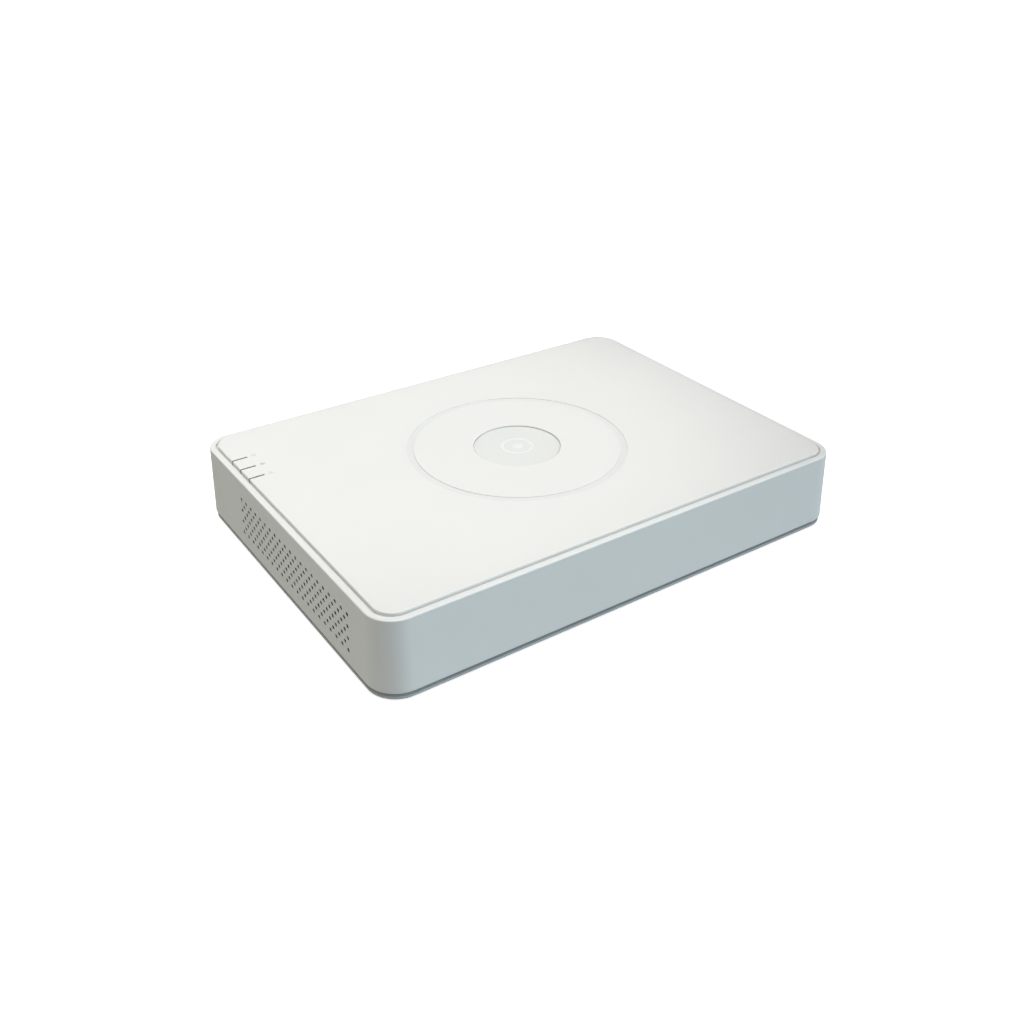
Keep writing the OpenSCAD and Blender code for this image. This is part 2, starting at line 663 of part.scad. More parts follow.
module disk_casting() {
  color("silver") in_case() difference() {
    union() {
      difference() {
        translate([disk_x0, disk_y0, casting_z0]) cube([disk_w, disk_d, casting_top - casting_z0]);
        disk_cavity();
        translate([disk_x0 - 1, disk_y0 + 52, casting_z0 - 1]) cube([8.5, 45.2, 8.2]);
        translate([spindle[0], spindle[1], 0]) cylinder(r = 16, h = casting_z0 + 1.2);
      }
      for (h = mount_holes) translate([disk_x0 + h[0], disk_y0 + h[1], disk_z0]) cylinder(r = 4.2, h = 4);
      translate([spindle[0], spindle[1], disk_floor - eps]) cylinder(r = 7, h = 1.6);
      translate([spindle[0], spindle[1], disk_floor]) cylinder(r = 3, h = 13);
      translate([arm_pivot[0], arm_pivot[1], disk_floor - eps]) cylinder(r = 4, h = 1.2);
      translate([arm_pivot[0], arm_pivot[1], disk_floor]) cylinder(r = 2.5, h = casting_top - disk_floor);
    }
    for (h = mount_holes) translate([disk_x0 + h[0], disk_y0 + h[1], 0]) cylinder(r = 1.35, h = disk_z0 + 6, $fn = 32);
    for (p = lid_screw_places) translate([p[0], p[1], casting_top - 5]) cylinder(r = 0.85, h = 6, $fn = 24);
  }
}

lid_screw_places = [for (p = [[4, 4], [disk_w - 4, 4], [disk_w - 4, disk_d - 4], [4, disk_d - 4], [66, 2.8], [62, disk_d - 6]])
  [disk_x0 + p[0], disk_y0 + p[1]]];

module disk_lid() {
  color("lightgray") in_case() difference() {
    translate([disk_x0, disk_y0, casting_top]) cube([disk_w, disk_d, disk_top - casting_top]);
    for (p = lid_screw_places) translate([p[0], p[1], casting_top - 1]) cylinder(r = 1.1, h = 5, $fn = 24);
    translate([arm_pivot[0], arm_pivot[1], casting_top - 1]) cylinder(r = 2.6, h = 5);
  }
}

module disk_lid_screws() {
  color("dimgray") in_case() for (p = lid_screw_places) translate([p[0], p[1], disk_top + eps]) screw(0.8, 4.5, 1.9, 0.8);
}

module disk_mount_screws() {
  color("silver") in_case() for (h = mount_holes)
    translate([disk_x0 + h[0], disk_y0 + h[1], base_z + disk_screw_sink]) mirror([0, 0, 1]) screw(1.3, 6.8, 3, 1.8);
}

module disk_platters() {
  color("whitesmoke") in_case() translate([spindle[0], spindle[1], 0]) difference() {
    union() {
      for (z = platter_z) translate([0, 0, z]) cylinder(r = platter_r, h = platter_t, $fn = 96);
      translate([0, 0, disk_floor + 2]) cylinder(r = 12.4, h = 12.4);
      translate([0, 0, platter_z[1] + platter_t - eps]) cylinder(r = 16, h = 1.8);
    }
    cylinder(r = 3 + run_gap, h = 40);
    for (a = [0 : 60 : 300]) rotate([0, 0, a]) translate([9, 0, 23]) cylinder(r = 1, h = 6, $fn = 24);
  }
}

module disk_arm() {
  arm_z = [platter_z[0] - 2, (platter_z[0] + platter_t + platter_z[1])/2 - 0.5, platter_z[1] + platter_t + 1];
  color("silver") in_case() translate([arm_pivot[0], arm_pivot[1], 0]) rotate([0, 0, arm_rest]) difference() {
    union() {
      translate([0, 0, disk_floor + 1.6]) cylinder(r = 6.5, h = 14);
      for (z = arm_z) translate([0, 0, z]) linear_extrude(1)
        polygon([[0, -6], [0, 6], [arm_len - 8, 2.2], [arm_len, 1.2], [arm_len, -1.2], [arm_len - 8, -2.2]]);
      translate([0, 0, 17.6]) linear_extrude(2.2) polygon([[0, -4], [0, 4], [-24, 12], [-27, 0], [-24, -12]]);
    }
    translate([0, 0, disk_floor]) cylinder(r = 2.5 + run_gap, h = 40);
    for (z = arm_z) translate([20, 0, z - 1]) cylinder(r = 1.8, h = 3, $fn = 32);
    translate([0, 0, 17]) linear_extrude(4) polygon([[-12, -3.2], [-12, 3.2], [-20.5, 6.2], [-22.5, 0], [-20.5, -6.2]]);
  }
}

module disk_magnets() {
  color("dimgray") in_case() translate([arm_pivot[0], arm_pivot[1], 0]) rotate([0, 0, 165])
    for (z = [disk_floor, 21.2]) translate([0, 0, z]) rotate_extrude(angle = 64, start = -32)
      translate([11, 0]) square([16, z == disk_floor ? 4.2 : 6]);
}

module disk_board() {
  color("darkgreen") in_case() difference() {
    translate([disk_x0 + 8, disk_y0 + 12, disk_z0 + 0.1]) cube([74, 77, 1.2]);
    translate([spindle[0], spindle[1], 0]) cylinder(r = 17, h = 20);
  }
}

module disk_connector() {
  color("black") in_case() difference() {
    translate([disk_x0, disk_y0 + 53, disk_z0 + 0.6]) cube([7.2, 43, 7.6]);
    translate([disk_x0 - 1, disk_y0 + 55, disk_z0 + 3.6]) cube([6, 21, 1.9]);
    translate([disk_x0 - 1, disk_y0 + 80, disk_z0 + 3.6]) cube([6, 14, 1.9]);
  }
}

// ---------- cables ----------

module cable_plugs() {
  color("crimson") in_case() {
    block(disk_x0 - 5, disk_y0 + 79, disk_z0 + 1, [10, 16, 5.2]);
    block(-40.5, 16, board_top + 5, [6, 16, 9]);
  }
  color("black") in_case() {
    block(disk_x0 - 6.5, disk_y0 + 54, disk_z0 + 1, [13, 23, 5.6]);
    block(-66, 18.5, board_top + 3, [6, 11, 6]);
  }
  color("ivory") in_case() block(-110, 17.5, board_top + 1.6, [4.4, 7, 3.6]);
}

module data_cable() color("crimson") in_case() cable(data_route, 8, 1.4, [0, 1, 0]);

module disk_power_cable() color("goldenrod") in_case() cable(power_route, 7, 2, [0, 1, 0]);

// ---------- fan ----------

module in_fan() in_case() translate([fan_x, fan_y, fan_z]) rotate([0, 90, 0]) children();

module fan_frame() {
  color("black") in_fan() difference() {
    union() {
      difference() {
        round_square(fan_size, 2.5, fan_t);
        translate([0, 0, -1]) cylinder(r = fan_hole_r, h = fan_t + 2, $fn = 96);
      }
      cylinder(r = fan_hub_r, h = 1.4);
      for (a = [0 : 90 : 270]) rotate([0, 0, a + 45]) translate([0, -1.1, 0]) cube([fan_hole_r + 1, 2.2, 1.4]);
      cylinder(r = 1, h = 8, $fn = 32);
    }
    for (sx = [-1, 1], sy = [-1, 1])
      translate([sx*12, sy*12, -1]) cylinder(r = 1.6, h = fan_t + 2, $fn = 32);
  }
}

module fan_rotor() {
  color("dimgray") in_fan() difference() {
    union() {
      translate([0, 0, 2]) cylinder(r = fan_hub_r, h = 7.4);
      intersection() {
        translate([0, 0, 2.4]) cylinder(r = fan_hole_r - 0.7, h = 6.6, $fn = 96);
        for (i = [0 : fan_blades - 1]) rotate([0, 0, i*360/fan_blades]) translate([fan_hub_r - 1, 0, 5.7])
          rotate([48, 0, 0]) translate([0, -5, -0.5]) cube([10, 10, 1]);
      }
    }
    translate([0, 0, 1]) cylinder(r = 1 + run_gap, h = 7.4, $fn = 32);
  }
}

module fan_cable() color("black") in_case() cable(fan_route, 2.4, 1.4, [0, 0.3, 1]);

// ---------- every node ----------

base_tray();
upper_case();
top_panel();
badge_disc();
light_guide();
rear_panel();
rubber_feet();
case_screws();
panel_screws();
ground_screw();
main_board();
board_screws();
main_chip();
heat_sink();
memory_chips();
video_chips();
network_transformer();
capacitors();
inductors();
coin_cell();
cell_holder();
buzzer();
status_lights();
board_headers();
for (i = [1 : video_count]) video_socket(i);
video_insulators();
video_contacts();
audio_socket(0);  // audio_in_socket
audio_socket(1);  // audio_out_socket
audio_insulators();
monitor_shell();
monitor_insert();
monitor_jackscrews();
display_shell();
display_tongue();
usb_shell(0);  // usb_shell_1
usb_shell(1);  // usb_shell_2
usb_tongues();
network_socket();
network_contacts();
power_socket();
power_pin();
disk_casting();
disk_lid();
disk_platters();
disk_arm();
disk_magnets();
disk_board();
disk_connector();
disk_lid_screws();
disk_mount_screws();
data_cable();
disk_power_cable();
cable_plugs();
fan_frame();
fan_rotor();
fan_cable();
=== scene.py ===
"""Looks of a compact desktop video recorder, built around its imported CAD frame.

The casing is swept from rounded profiles, the connectors are turned and extruded, and every piece takes a
procedural finish. Sizes are in millimetres until a mesh is placed, and the frame gives every position.
"""

import logging
import math
from dataclasses import dataclass, field
from enum import Enum
from typing import Callable, Iterable, Iterator, Sequence

import bmesh
import bpy
from mathutils import Matrix, Vector


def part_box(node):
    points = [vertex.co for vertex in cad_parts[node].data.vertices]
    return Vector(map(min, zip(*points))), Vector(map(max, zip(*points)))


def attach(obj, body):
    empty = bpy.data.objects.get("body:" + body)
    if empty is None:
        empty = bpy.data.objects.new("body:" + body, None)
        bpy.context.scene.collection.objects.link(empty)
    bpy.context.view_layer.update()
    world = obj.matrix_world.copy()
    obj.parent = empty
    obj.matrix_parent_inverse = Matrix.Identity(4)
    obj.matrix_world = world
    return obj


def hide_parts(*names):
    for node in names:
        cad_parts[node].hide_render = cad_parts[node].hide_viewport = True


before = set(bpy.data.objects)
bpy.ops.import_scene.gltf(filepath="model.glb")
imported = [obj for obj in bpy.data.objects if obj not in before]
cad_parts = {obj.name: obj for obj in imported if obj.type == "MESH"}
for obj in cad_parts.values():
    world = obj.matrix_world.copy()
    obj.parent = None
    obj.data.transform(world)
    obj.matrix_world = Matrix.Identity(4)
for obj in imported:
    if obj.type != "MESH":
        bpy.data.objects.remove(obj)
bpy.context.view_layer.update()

log = logging.getLogger("recorder")
MM = 0.001
Point = tuple[float, float]
Colour = tuple[float, float, float]
Mesh = bmesh.types.BMesh
Socket = bpy.types.NodeSocket
Piece = bpy.types.Object
Shape = Callable[[Mesh], None]


def low(node: str) -> Vector:
    """The lowest corner of a CAD node, in millimetres."""
    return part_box(node)[0] / MM


def high(node: str) -> Vector:
    """The highest corner of a CAD node, in millimetres."""
    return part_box(node)[1] / MM


def middle(node: str) -> Vector:
    """The middle of a CAD node's box, in millimetres."""
    return (low(node) + high(node)) / 2


# ---------- shader groups ----------


class Effect(Enum):
    """The shared shader effects."""

    GRAIN = "moulded_grain"
    WEAR_AND_HIGHLIGHT = "edge_wear"
    DUST = "settled_dust"
    BRUSH = "brushed_lines"
    TRACKS = "board_tracks"


class Wiring:
    """Small helper that adds and joins nodes in one node tree."""

    def __init__(self, tree: bpy.types.NodeTree) -> None:
        """Keeps the tree that the nodes go into."""
        self.tree = tree

    def feed(self, slot: Socket, value: object) -> None:
        """Feeds an input.

        Args:
            slot: The input.
            value: A socket to join to it, or the number or colour to set it to.
        """
        if isinstance(value, Socket):
            self.tree.links.new(value, slot)
        else:
            slot.default_value = (*value, 1.0) if isinstance(value, tuple) else value

    def node(self, kind: str, **settings: object) -> bpy.types.Node:
        """Adds a node.

        Args:
            kind: The node's Blender type name without the ShaderNode prefix.
            settings: Its attributes, and its inputs where the name starts with a capital.

        Returns:
            The new node.
        """
        made = self.tree.nodes.new(kind if kind.startswith("Node") else "ShaderNode" + kind)
        for name, value in settings.items():
            if name[0].isupper():
                self.feed(made.inputs[name.replace("_", " ")], value)
            else:
                setattr(made, name, value)
        return made

    def math(self, operation: str, *values: object) -> Socket:
        """Adds a Math node.

        Args:
            operation: The node's operation.
            values: Sockets or numbers for its inputs.

        Returns:
            The node's output.
        """
        made = self.node("Math", operation=operation)
        for slot, value in zip(made.inputs, values):
            self.feed(slot, value)
        return made.outputs[0]

    def ramp(self, value: Socket, start: float, end: float) -> Socket:
        """Maps a value smoothly to 0 to 1.

        Args:
            value: The socket to map.
            start: The value that becomes 0.
            end: The value that becomes 1.

        Returns:
            The mapped socket.
        """
        made = self.node("MapRange", interpolation_type="SMOOTHSTEP", From_Min=start, From_Max=end)
        self.feed(made.inputs["Value"], value)
        return made.outputs["Result"]

    def mix(self, factor: object, first: object, second: object) -> Socket:
        """Mixes two colours.

        Args:
            factor: A socket or number from 0 to 1.
            first: The colour or socket at 0.
            second: The colour or socket at 1.

        Returns:
            The mixed colour socket.
        """
        made = self.node("Mix", data_type="RGBA")
        for index, value in ((0, factor), (6, first), (7, second)):
            self.feed(made.inputs[index], value)
        return made.outputs[2]


class EffectLibrary:
    """Builds each shared shader group once and hands it out."""

    def __init__(self) -> None:
        """Starts with no groups made."""
        self.made: dict[Effect, bpy.types.NodeTree] = {}
        self.makers: dict[Effect, Callable[[bpy.types.NodeTree], None]] = {
            Effect.GRAIN: self._grain, Effect.WEAR_AND_HIGHLIGHT: self._wear, Effect.DUST: self._dust,
            Effect.BRUSH: self._brush, Effect.TRACKS: self._tracks,
        }

    def group(self, effect: Effect) -> bpy.types.NodeTree:
        """Hands out the group of an effect, making it at the first call.

        Args:
            effect: Which effect it is.

        Returns:
            The group.
        """
        if effect not in self.made:
            tree = bpy.data.node_groups.new(effect.value, "ShaderNodeTree")
            self.makers[effect](tree)
            self.made[effect] = tree
        return self.made[effect]

    @staticmethod
    def _sockets(tree: bpy.types.NodeTree, inputs: dict[str, float], *outputs: str) -> tuple:
        """Declares a group's sockets.

        Args:
            tree: The group.
            inputs: Names and default numbers of the inputs.
            outputs: Names of the outputs, all numbers.

        Returns:
            The wiring helper, the input sockets, the output node and the object coordinates.
        """
        for name, value in inputs.items():
            made = tree.interface.new_socket(name, in_out="INPUT", socket_type="NodeSocketFloat")
            made.default_value = value
        for name in outputs:
            tree.interface.new_socket(name, in_out="OUTPUT", socket_type="NodeSocketFloat")
        wires = Wiring(tree)
        kinds = ("NodeGroupInput", "NodeGroupOutput", "TexCoord")
        given, out, coordinates = (wires.node(kind) for kind in kinds)
        return wires, given.outputs, out, coordinates

    def _grain(self, tree: bpy.types.NodeTree) -> None:
        """Fine spark-eroded texture: a height, and a slow mottle for roughness.

        Args:
            tree: The group that it fills.
        """
        wires, given, out, spot = self._sockets(tree, {"Grain per metre": 2500.0, "Mottle per metre": 22.0},
                                                "Height", "Mottle")
        place = spot.outputs["Object"]
        fine = wires.node("TexNoise", Vector=place, Scale=given[0], Detail=2.0, Roughness=0.55)
        slow = wires.node("TexNoise", Vector=place, Scale=given[1], Detail=4.0)
        wires.feed(out.inputs["Height"], fine.outputs["Fac"])
        wires.feed(out.inputs["Mottle"], wires.ramp(slow.outputs["Fac"], 0.3, 0.7))

    def _wear(self, tree: bpy.types.NodeTree) -> None:
        """A mask of rounded edges, broken up by noise: rubbed wear on most finishes, and a painted highlight
        on the white case.

        Args:
            tree: The group that it fills.
        """
        wires, given, out, spot = self._sockets(tree, {"Width": 0.0004, "Breakup per metre": 260.0}, "Mask")
        rounded = wires.node("Bevel", samples=4, Radius=given[0])
        turn = wires.node("VectorMath", operation="DOT_PRODUCT")
        wires.feed(turn.inputs[0], rounded.outputs["Normal"])
        wires.feed(turn.inputs[1], wires.node("NewGeometry").outputs["Normal"])
        edge = wires.ramp(wires.math("SUBTRACT", 1.0, turn.outputs["Value"]), 0.01, 0.14)
        noise = wires.node("TexNoise", Vector=spot.outputs["Object"], Scale=given[1], Detail=3.0)
        patches = wires.ramp(noise.outputs["Fac"], 0.42, 0.62)
        wires.feed(out.inputs["Mask"], wires.math("MULTIPLY", edge, patches))

    def _dust(self, tree: bpy.types.NodeTree) -> None:
        """A thin film of dust that lies on faces that look up.

        Args:
            tree: The group that it fills.
        """
        wires, given, out, spot = self._sockets(tree, {"Amount": 0.5, "Patches per metre": 14.0}, "Mask")
        facing = wires.node("SeparateXYZ", Vector=spot.outputs["Normal"])
        up = wires.ramp(facing.outputs["Z"], 0.35, 0.95)
        place = spot.outputs["Object"]
        noise = wires.node("TexNoise", Vector=place, Scale=given[1], Detail=6.0, Roughness=0.65)
        patch = wires.ramp(noise.outputs["Fac"], 0.4, 0.75)
        wires.feed(out.inputs["Mask"], wires.math("MULTIPLY", wires.math("MULTIPLY", up, patch), given[0]))

    def _brush(self, tree: bpy.types.NodeTree) -> None:
        """Fine parallel lines along X, as on rolled or brushed sheet.

        Args:
            tree: The group that it fills.
        """
        wires, given, out, spot = self._sockets(tree, {"Lines per metre": 900.0, "Stretch": 0.03},
                                                "Height", "Mottle")
        place = wires.node("VectorMath", operation="MULTIPLY")
        wires.feed(place.inputs[0], spot.outputs["Object"])
        wires.feed(place.inputs[1], wires.node("CombineXYZ", X=given[1], Y=1.0, Z=1.0).outputs[0])
        for count, name in ((1.0, "Height"), (0.12, "Mottle")):
            lines = wires.node("TexNoise", Vector=place.outputs[0], Detail=3.0,
                               Scale=wires.math("MULTIPLY", given[0], count))
            wires.feed(out.inputs[name], lines.outputs["Fac"])

    def _tracks(self, tree: bpy.types.NodeTree) -> None:
        """Copper tracks under solder mask, and small drilled pads.

        Args:
            tree: The group that it fills.
        """
        wires, given, out, spot = self._sockets(tree, {"Pitch per metre": 150.0}, "Track", "Pad")
        place = spot.outputs["Object"]
        bent = wires.node("TexVoronoi", distance="CHEBYCHEV", feature="F1", Vector=place, Scale=given[0])
        waves = wires.math("FRACT", wires.math("MULTIPLY", bent.outputs["Distance"], 9.0))
        finer = wires.math("MULTIPLY", given[0], 2.3)
        dots = wires.node("TexVoronoi", feature="F1", Vector=place, Scale=finer)
        wires.feed(out.inputs["Track"], wires.ramp(waves, 0.45, 0.55))
        wires.feed(out.inputs["Pad"], wires.ramp(dots.outputs["Distance"], 0.16, 0.1))


EFFECTS = EffectLibrary()


# ---------- finishes ----------


class Surface(Enum):
    """How a finish's surface is worked."""

    MOULDED = "moulded"
    BRUSHED = "brushed"
    CIRCUIT = "circuit"


@dataclass(frozen=True)
class Finish:
    """One material: its colour, gloss and the effects laid over it."""

    name: str
    colour: Colour
    roughness: float = 0.4
    metallic: float = 0.0
    surface: Surface = Surface.MOULDED
    grain: float = 0.005
    grain_scale: float = 2500.0
    mottle: float = 0.06
    wear: float = 0.0
    worn_colour: Colour = (0.9, 0.9, 0.9)
    dust: float = 0.0
    coat: float = 0.0
    specular: float = 0.5

    def material(self) -> bpy.types.Material:
        """Returns the material, building it at the first call."""
        return bpy.data.materials.get(self.name) or self._build()

    def _build(self) -> bpy.types.Material:
        """Builds the node tree.

        Returns:
            The new material.
        """
        made = bpy.data.materials.new(self.name)
        made.use_nodes = True
        wires = Wiring(made.node_tree)
        shader = made.node_tree.nodes["Principled BSDF"]
        for name, value in (("Metallic", self.metallic), ("Specular IOR Level", self.specular),
                            ("Coat Weight", self.coat), ("Coat Roughness", 0.12)):
            shader.inputs[name].default_value = value
        colour, roughness, height = self._surface(wires)
        # The edge colour along rounded edges: rubbed wear on most finishes, and a painted highlight on the
        # white case.
        if self.wear:
            mask = wires.math("MULTIPLY", self._place(wires, Effect.WEAR_AND_HIGHLIGHT).outputs["Mask"], self.wear)
            colour = wires.mix(mask, colour, self.worn_colour)
        if self.dust:
            film = self._place(wires, Effect.DUST)
            film.inputs["Amount"].default_value = self.dust
            colour = wires.mix(film.outputs["Mask"], colour, (0.55, 0.53, 0.49))
            roughness = wires.math("ADD", roughness, wires.math("MULTIPLY", film.outputs["Mask"], 0.3))
        bump = wires.node("Bump", Distance=self.grain * MM, Height=height)
        wires.feed(shader.inputs["Base Color"], colour)
        wires.feed(shader.inputs["Roughness"], roughness)
        wires.feed(shader.inputs["Normal"], bump.outputs["Normal"])
        return made

    @staticmethod
    def _place(wires: Wiring, effect: Effect) -> bpy.types.Node:
        """Places a shared group in the material."""
        return wires.node("Group", node_tree=EFFECTS.group(effect))

    def _surface(self, wires: Wiring) -> tuple:
        """Lays down the worked surface.

        Args:
            wires: The material's wiring.

        Returns:
            The colour, roughness and height sockets.
        """
        dark = tuple(c * (1 - self.mottle) for c in self.colour)
        worked = self._place(wires, Effect.BRUSH if self.surface is Surface.BRUSHED else Effect.GRAIN)
        worked.inputs[0].default_value = self.grain_scale
        colour, height = wires.mix(worked.outputs["Mottle"], dark, self.colour), worked.outputs["Height"]
        if self.surface is Surface.CIRCUIT:
            lines = self._place(wires, Effect.TRACKS)
            copper = tuple(c * 2.1 + 0.012 for c in self.colour)
            colour = wires.mix(lines.outputs["Track"], colour, copper)
            colour = wires.mix(lines.outputs["Pad"], colour, (0.70, 0.68, 0.58))
            height = lines.outputs["Track"]
        spread = wires.math("MULTIPLY", wires.math("SUBTRACT", worked.outputs["Mottle"], 0.5), self.mottle)
        return colour, wires.math("ADD", spread, self.roughness), height


def metal(name: str, colour: Colour, roughness: float, brushed: bool = False, **extra: float) -> Finish:
    """A bare or plated metal.

    Args:
        name: The finish's name.
        colour: Its colour.
        roughness: How matt it is.
        brushed: Whether it shows rolling or brushing lines.
        extra: Other values of the finish.

    Returns:
        The finish.
    """
    surface = Surface.BRUSHED if brushed else Surface.MOULDED
    return Finish(name, colour, roughness, 1.0, surface, **{"mottle": 0.12, **extra})


# The white case's lighter edge colour is a painted highlight on its rounded edges.
WHITE_EDGE_HIGHLIGHT = (0.80, 0.80, 0.79)
WHITE = Finish("white_moulded_case", (0.735, 0.735, 0.715), 0.45, grain=0.006, mottle=0.012, wear=0.05,
               worn_colour=WHITE_EDGE_HIGHLIGHT)
PANEL_WHITE = Finish("white_top_panel", (0.738, 0.73, 0.705), 0.5, grain=0.004, mottle=0.01, specular=0.3)
# A darker copy of the panel's white: painted shade on the groove's floor.
GROOVE_SHADE_WHITE = Finish("groove_shade_ring", (0.70, 0.70, 0.683), 0.6, grain=0.008, mottle=0.01)
BADGE = Finish("gloss_badge", (0.752, 0.755, 0.727), 0.2, grain=0.002, mottle=0.02, coat=0.35)
MARK = Finish("badge_mark", (0.775, 0.777, 0.752), 0.3, grain=0.002, mottle=0.03)
PRINT_GREY = Finish("grey_print", (0.50, 0.50, 0.48), 0.5, grain=0.001)
BASE_GREY = Finish("grey_moulded_base", (0.46, 0.47, 0.475), 0.5, grain=0.008, mottle=0.03, wear=0.1,
                   worn_colour=(0.6, 0.6, 0.6), dust=0.1)
# Near-black guide: smoked resin, and also painted shade for the dark slits.
GUIDE_SMOKE_AND_SHADE = Finish("smoked_guide_and_shade", (0.085, 0.08, 0.075), 0.35, mottle=0.1, coat=0.1)
# Near-black pad behind the vent holes: painted shade for the holes.
VENT_SHADE_BLACK = Finish("vent_shade_pad_black", (0.012, 0.012, 0.012), 0.95, grain=0.05, grain_scale=1800.0, mottle=0.3,
              specular=0.1)
RUBBER = Finish("black_rubber", (0.028, 0.028, 0.03), 0.8, grain=0.02, grain_scale=1400, dust=0.5, wear=0.3,
                worn_colour=(0.09, 0.09, 0.09))
SHEET = metal("zinc_sheet", (0.66, 0.67, 0.68), 0.34, True, wear=0.2, dust=0.12)
SCREW = metal("screw_steel", (0.62, 0.62, 0.63), 0.28, wear=0.4)
BRASS = metal("brass", (0.78, 0.58, 0.27), 0.26, wear=0.3, worn_colour=(0.95, 0.8, 0.5))
BOARD = Finish("solder_mask_green", (0.010, 0.085, 0.028), 0.36, surface=Surface.CIRCUIT, grain=0.02,
               dust=0.12, specular=0.6)
CHIP = Finish("chip_epoxy", (0.022, 0.022, 0.024), 0.5, grain=0.004, mottle=0.2, dust=0.1)
SINK = Finish("black_anodised", (0.035, 0.035, 0.038), 0.42, 0.7, Surface.BRUSHED, mottle=0.3, wear=0.4,
              worn_colour=(0.4, 0.4, 0.41), dust=0.2)
CAN = metal("capacitor_aluminium", (0.74, 0.74, 0.75), 0.3, True, wear=0.2)
FERRITE = Finish("ferrite", (0.07, 0.07, 0.072), 0.6, grain=0.01, mottle=0.25, wear=0.3,
                 worn_colour=(0.2, 0.2, 0.2))
CELL = metal("cell_steel", (0.72, 0.72, 0.71), 0.22, True)
BLACK = Finish("black_plastic", (0.018, 0.018, 0.02), 0.45, grain=0.006, mottle=0.2, wear=0.15,
               worn_colour=(0.12, 0.12, 0.12), dust=0.08)
RESIN = Finish("light_resin", (0.62, 0.78, 0.60), 0.18, mottle=0.1, coat=0.5)
NYLON = Finish("ivory_nylon", (0.72, 0.68, 0.56), 0.42, grain=0.004, mottle=0.08)
NICKEL = metal("nickel_plate", (0.70, 0.68, 0.64), 0.2, wear=0.2)
TIN = metal("tinned_lead", (0.74, 0.74, 0.74), 0.3)
GOLD = metal("gold_flash", (0.90, 0.66, 0.28), 0.2)
RED_PLASTIC = Finish("red_plastic", (0.52, 0.018, 0.016), 0.35, grain=0.004, mottle=0.1)
WHITE_PLASTIC = Finish("white_insulator", (0.74, 0.74, 0.71), 0.35, grain=0.004, mottle=0.05)
BLUE = Finish("blue_insulator", (0.012, 0.045, 0.33), 0.38, grain=0.004, mottle=0.15)
CAST = metal("cast_aluminium", (0.60, 0.60, 0.61), 0.46, grain=0.03, grain_scale=1600.0, mottle=0.2, dust=0.1)
LID = metal("lid_steel", (0.68, 0.68, 0.68), 0.27, True, wear=0.2)
MIRROR = metal("platter_mirror", (0.86, 0.86, 0.86), 0.04, grain=0.0002, mottle=0.02)
ARM = metal("arm_aluminium", (0.76, 0.76, 0.76), 0.3, True)
MAGNET = metal("magnet_plating", (0.58, 0.57, 0.55), 0.22)
RED_JACKET = Finish("red_jacket", (0.50, 0.02, 0.016), 0.38, grain=0.01, mottle=0.1)
YELLOW_JACKET = Finish("yellow_jacket", (0.80, 0.52, 0.02), 0.4, grain=0.01, mottle=0.1)
BLACK_JACKET = Finish("black_jacket", (0.02, 0.02, 0.02), 0.45, grain=0.01, mottle=0.1)
CERAMIC = Finish("tan_ceramic", (0.42, 0.30, 0.19), 0.35, grain=0.003, mottle=0.15)


# ---------- shared places, in millimetres in the case's own frame ----------


CASE_Y = middle("upper_case").y
BOARD_TOP = high("main_board").z
BACKWARDS = Matrix.Rotation(-math.pi / 2, 4, "X")
FORWARDS = Matrix.Rotation(math.pi / 2, 4, "X")
TO_LEFT = Matrix.Rotation(math.pi / 2, 4, "Y")
SIDES = (-1, 1)
BOSSES = [(sx * 126.7, sy * 88.2, sx, sy) for sx in SIDES for sy in SIDES]
STANDOFFS = ((-130, 18), (-130, 78), (-40, 56), (-22, 17.5), (48, 60), (112, 18), (112, 66), (48, 17.5))
PANEL_SCREWS = ((-92, 93.03), (92, 93.03))
DISK_X, DISK_Y = -26.0, -93.5
DISK_MOUNTS = [(DISK_X + x, DISK_Y + y) for x, y in ((14, 6), (14, 95.6), (117, 6), (117, 95.6))]
LID_SCREWS = [(DISK_X + x, DISK_Y + y)
              for x, y in ((4, 4), (143, 4), (143, 97.6), (4, 97.6), (66, 2.8), (62, 95.6))]
LIGHT_X = -131.5
LIGHT_ROWS = [58.4 + i * 11.55 for i in (-1, 0, 1)]


def at(x: float, y: float, z: float) -> Matrix:
    """A place given in the case's own frame, as a matrix."""
    return Matrix.Translation((x, y + CASE_Y, z))


def onward(place: Matrix, distance: float) -> Matrix:
    """A place moved along its own Z axis."""
    return place @ Matrix.Translation((0, 0, distance))


# ---------- mesh helpers ----------


def fillet(centre: Point, radius: float, start: float, end: float, steps: int = 6) -> list[Point]:
    """Points along an arc.

    Args:
        centre: The arc's centre.
        radius: Its radius.
        start: The first angle in degrees.
        end: The last angle in degrees.
        steps: How many pieces the arc has.

    Returns:
        The points, ends included.
    """
    angles = (math.radians(start + (end - start) * i / steps) for i in range(steps + 1))
    return [(centre[0] + radius * math.cos(a), centre[1] + radius * math.sin(a)) for a in angles]


def rounded_outline(width: float, height: float, radius: float, steps: int = 6) -> list[Point]:
    """A rectangle's outline with rounded corners, centred on the origin.

    Args:
        width: Its size in X.
        height: Its size in Y.
        radius: The corner radius.
        steps: How many pieces each corner has.

    Returns:
        The outline's points.
    """
    x, y = width / 2 - radius, height / 2 - radius
    corners = (((x, y), 0), ((-x, y), 90), ((-x, -y), 180), ((x, -y), 270))
    return [point for centre, start in corners for point in fillet(centre, radius, start, start + 90, steps)]


def round_edges(bm: Mesh, edges: Iterable[bmesh.types.BMEdge], radius: float) -> None:
    """Rounds edges."""
    bmesh.ops.bevel(bm, geom=list(edges), offset=radius, offset_type="OFFSET", segments=2, profile=0.5,
                    affect="EDGES", clamp_overlap=True, material=-1)


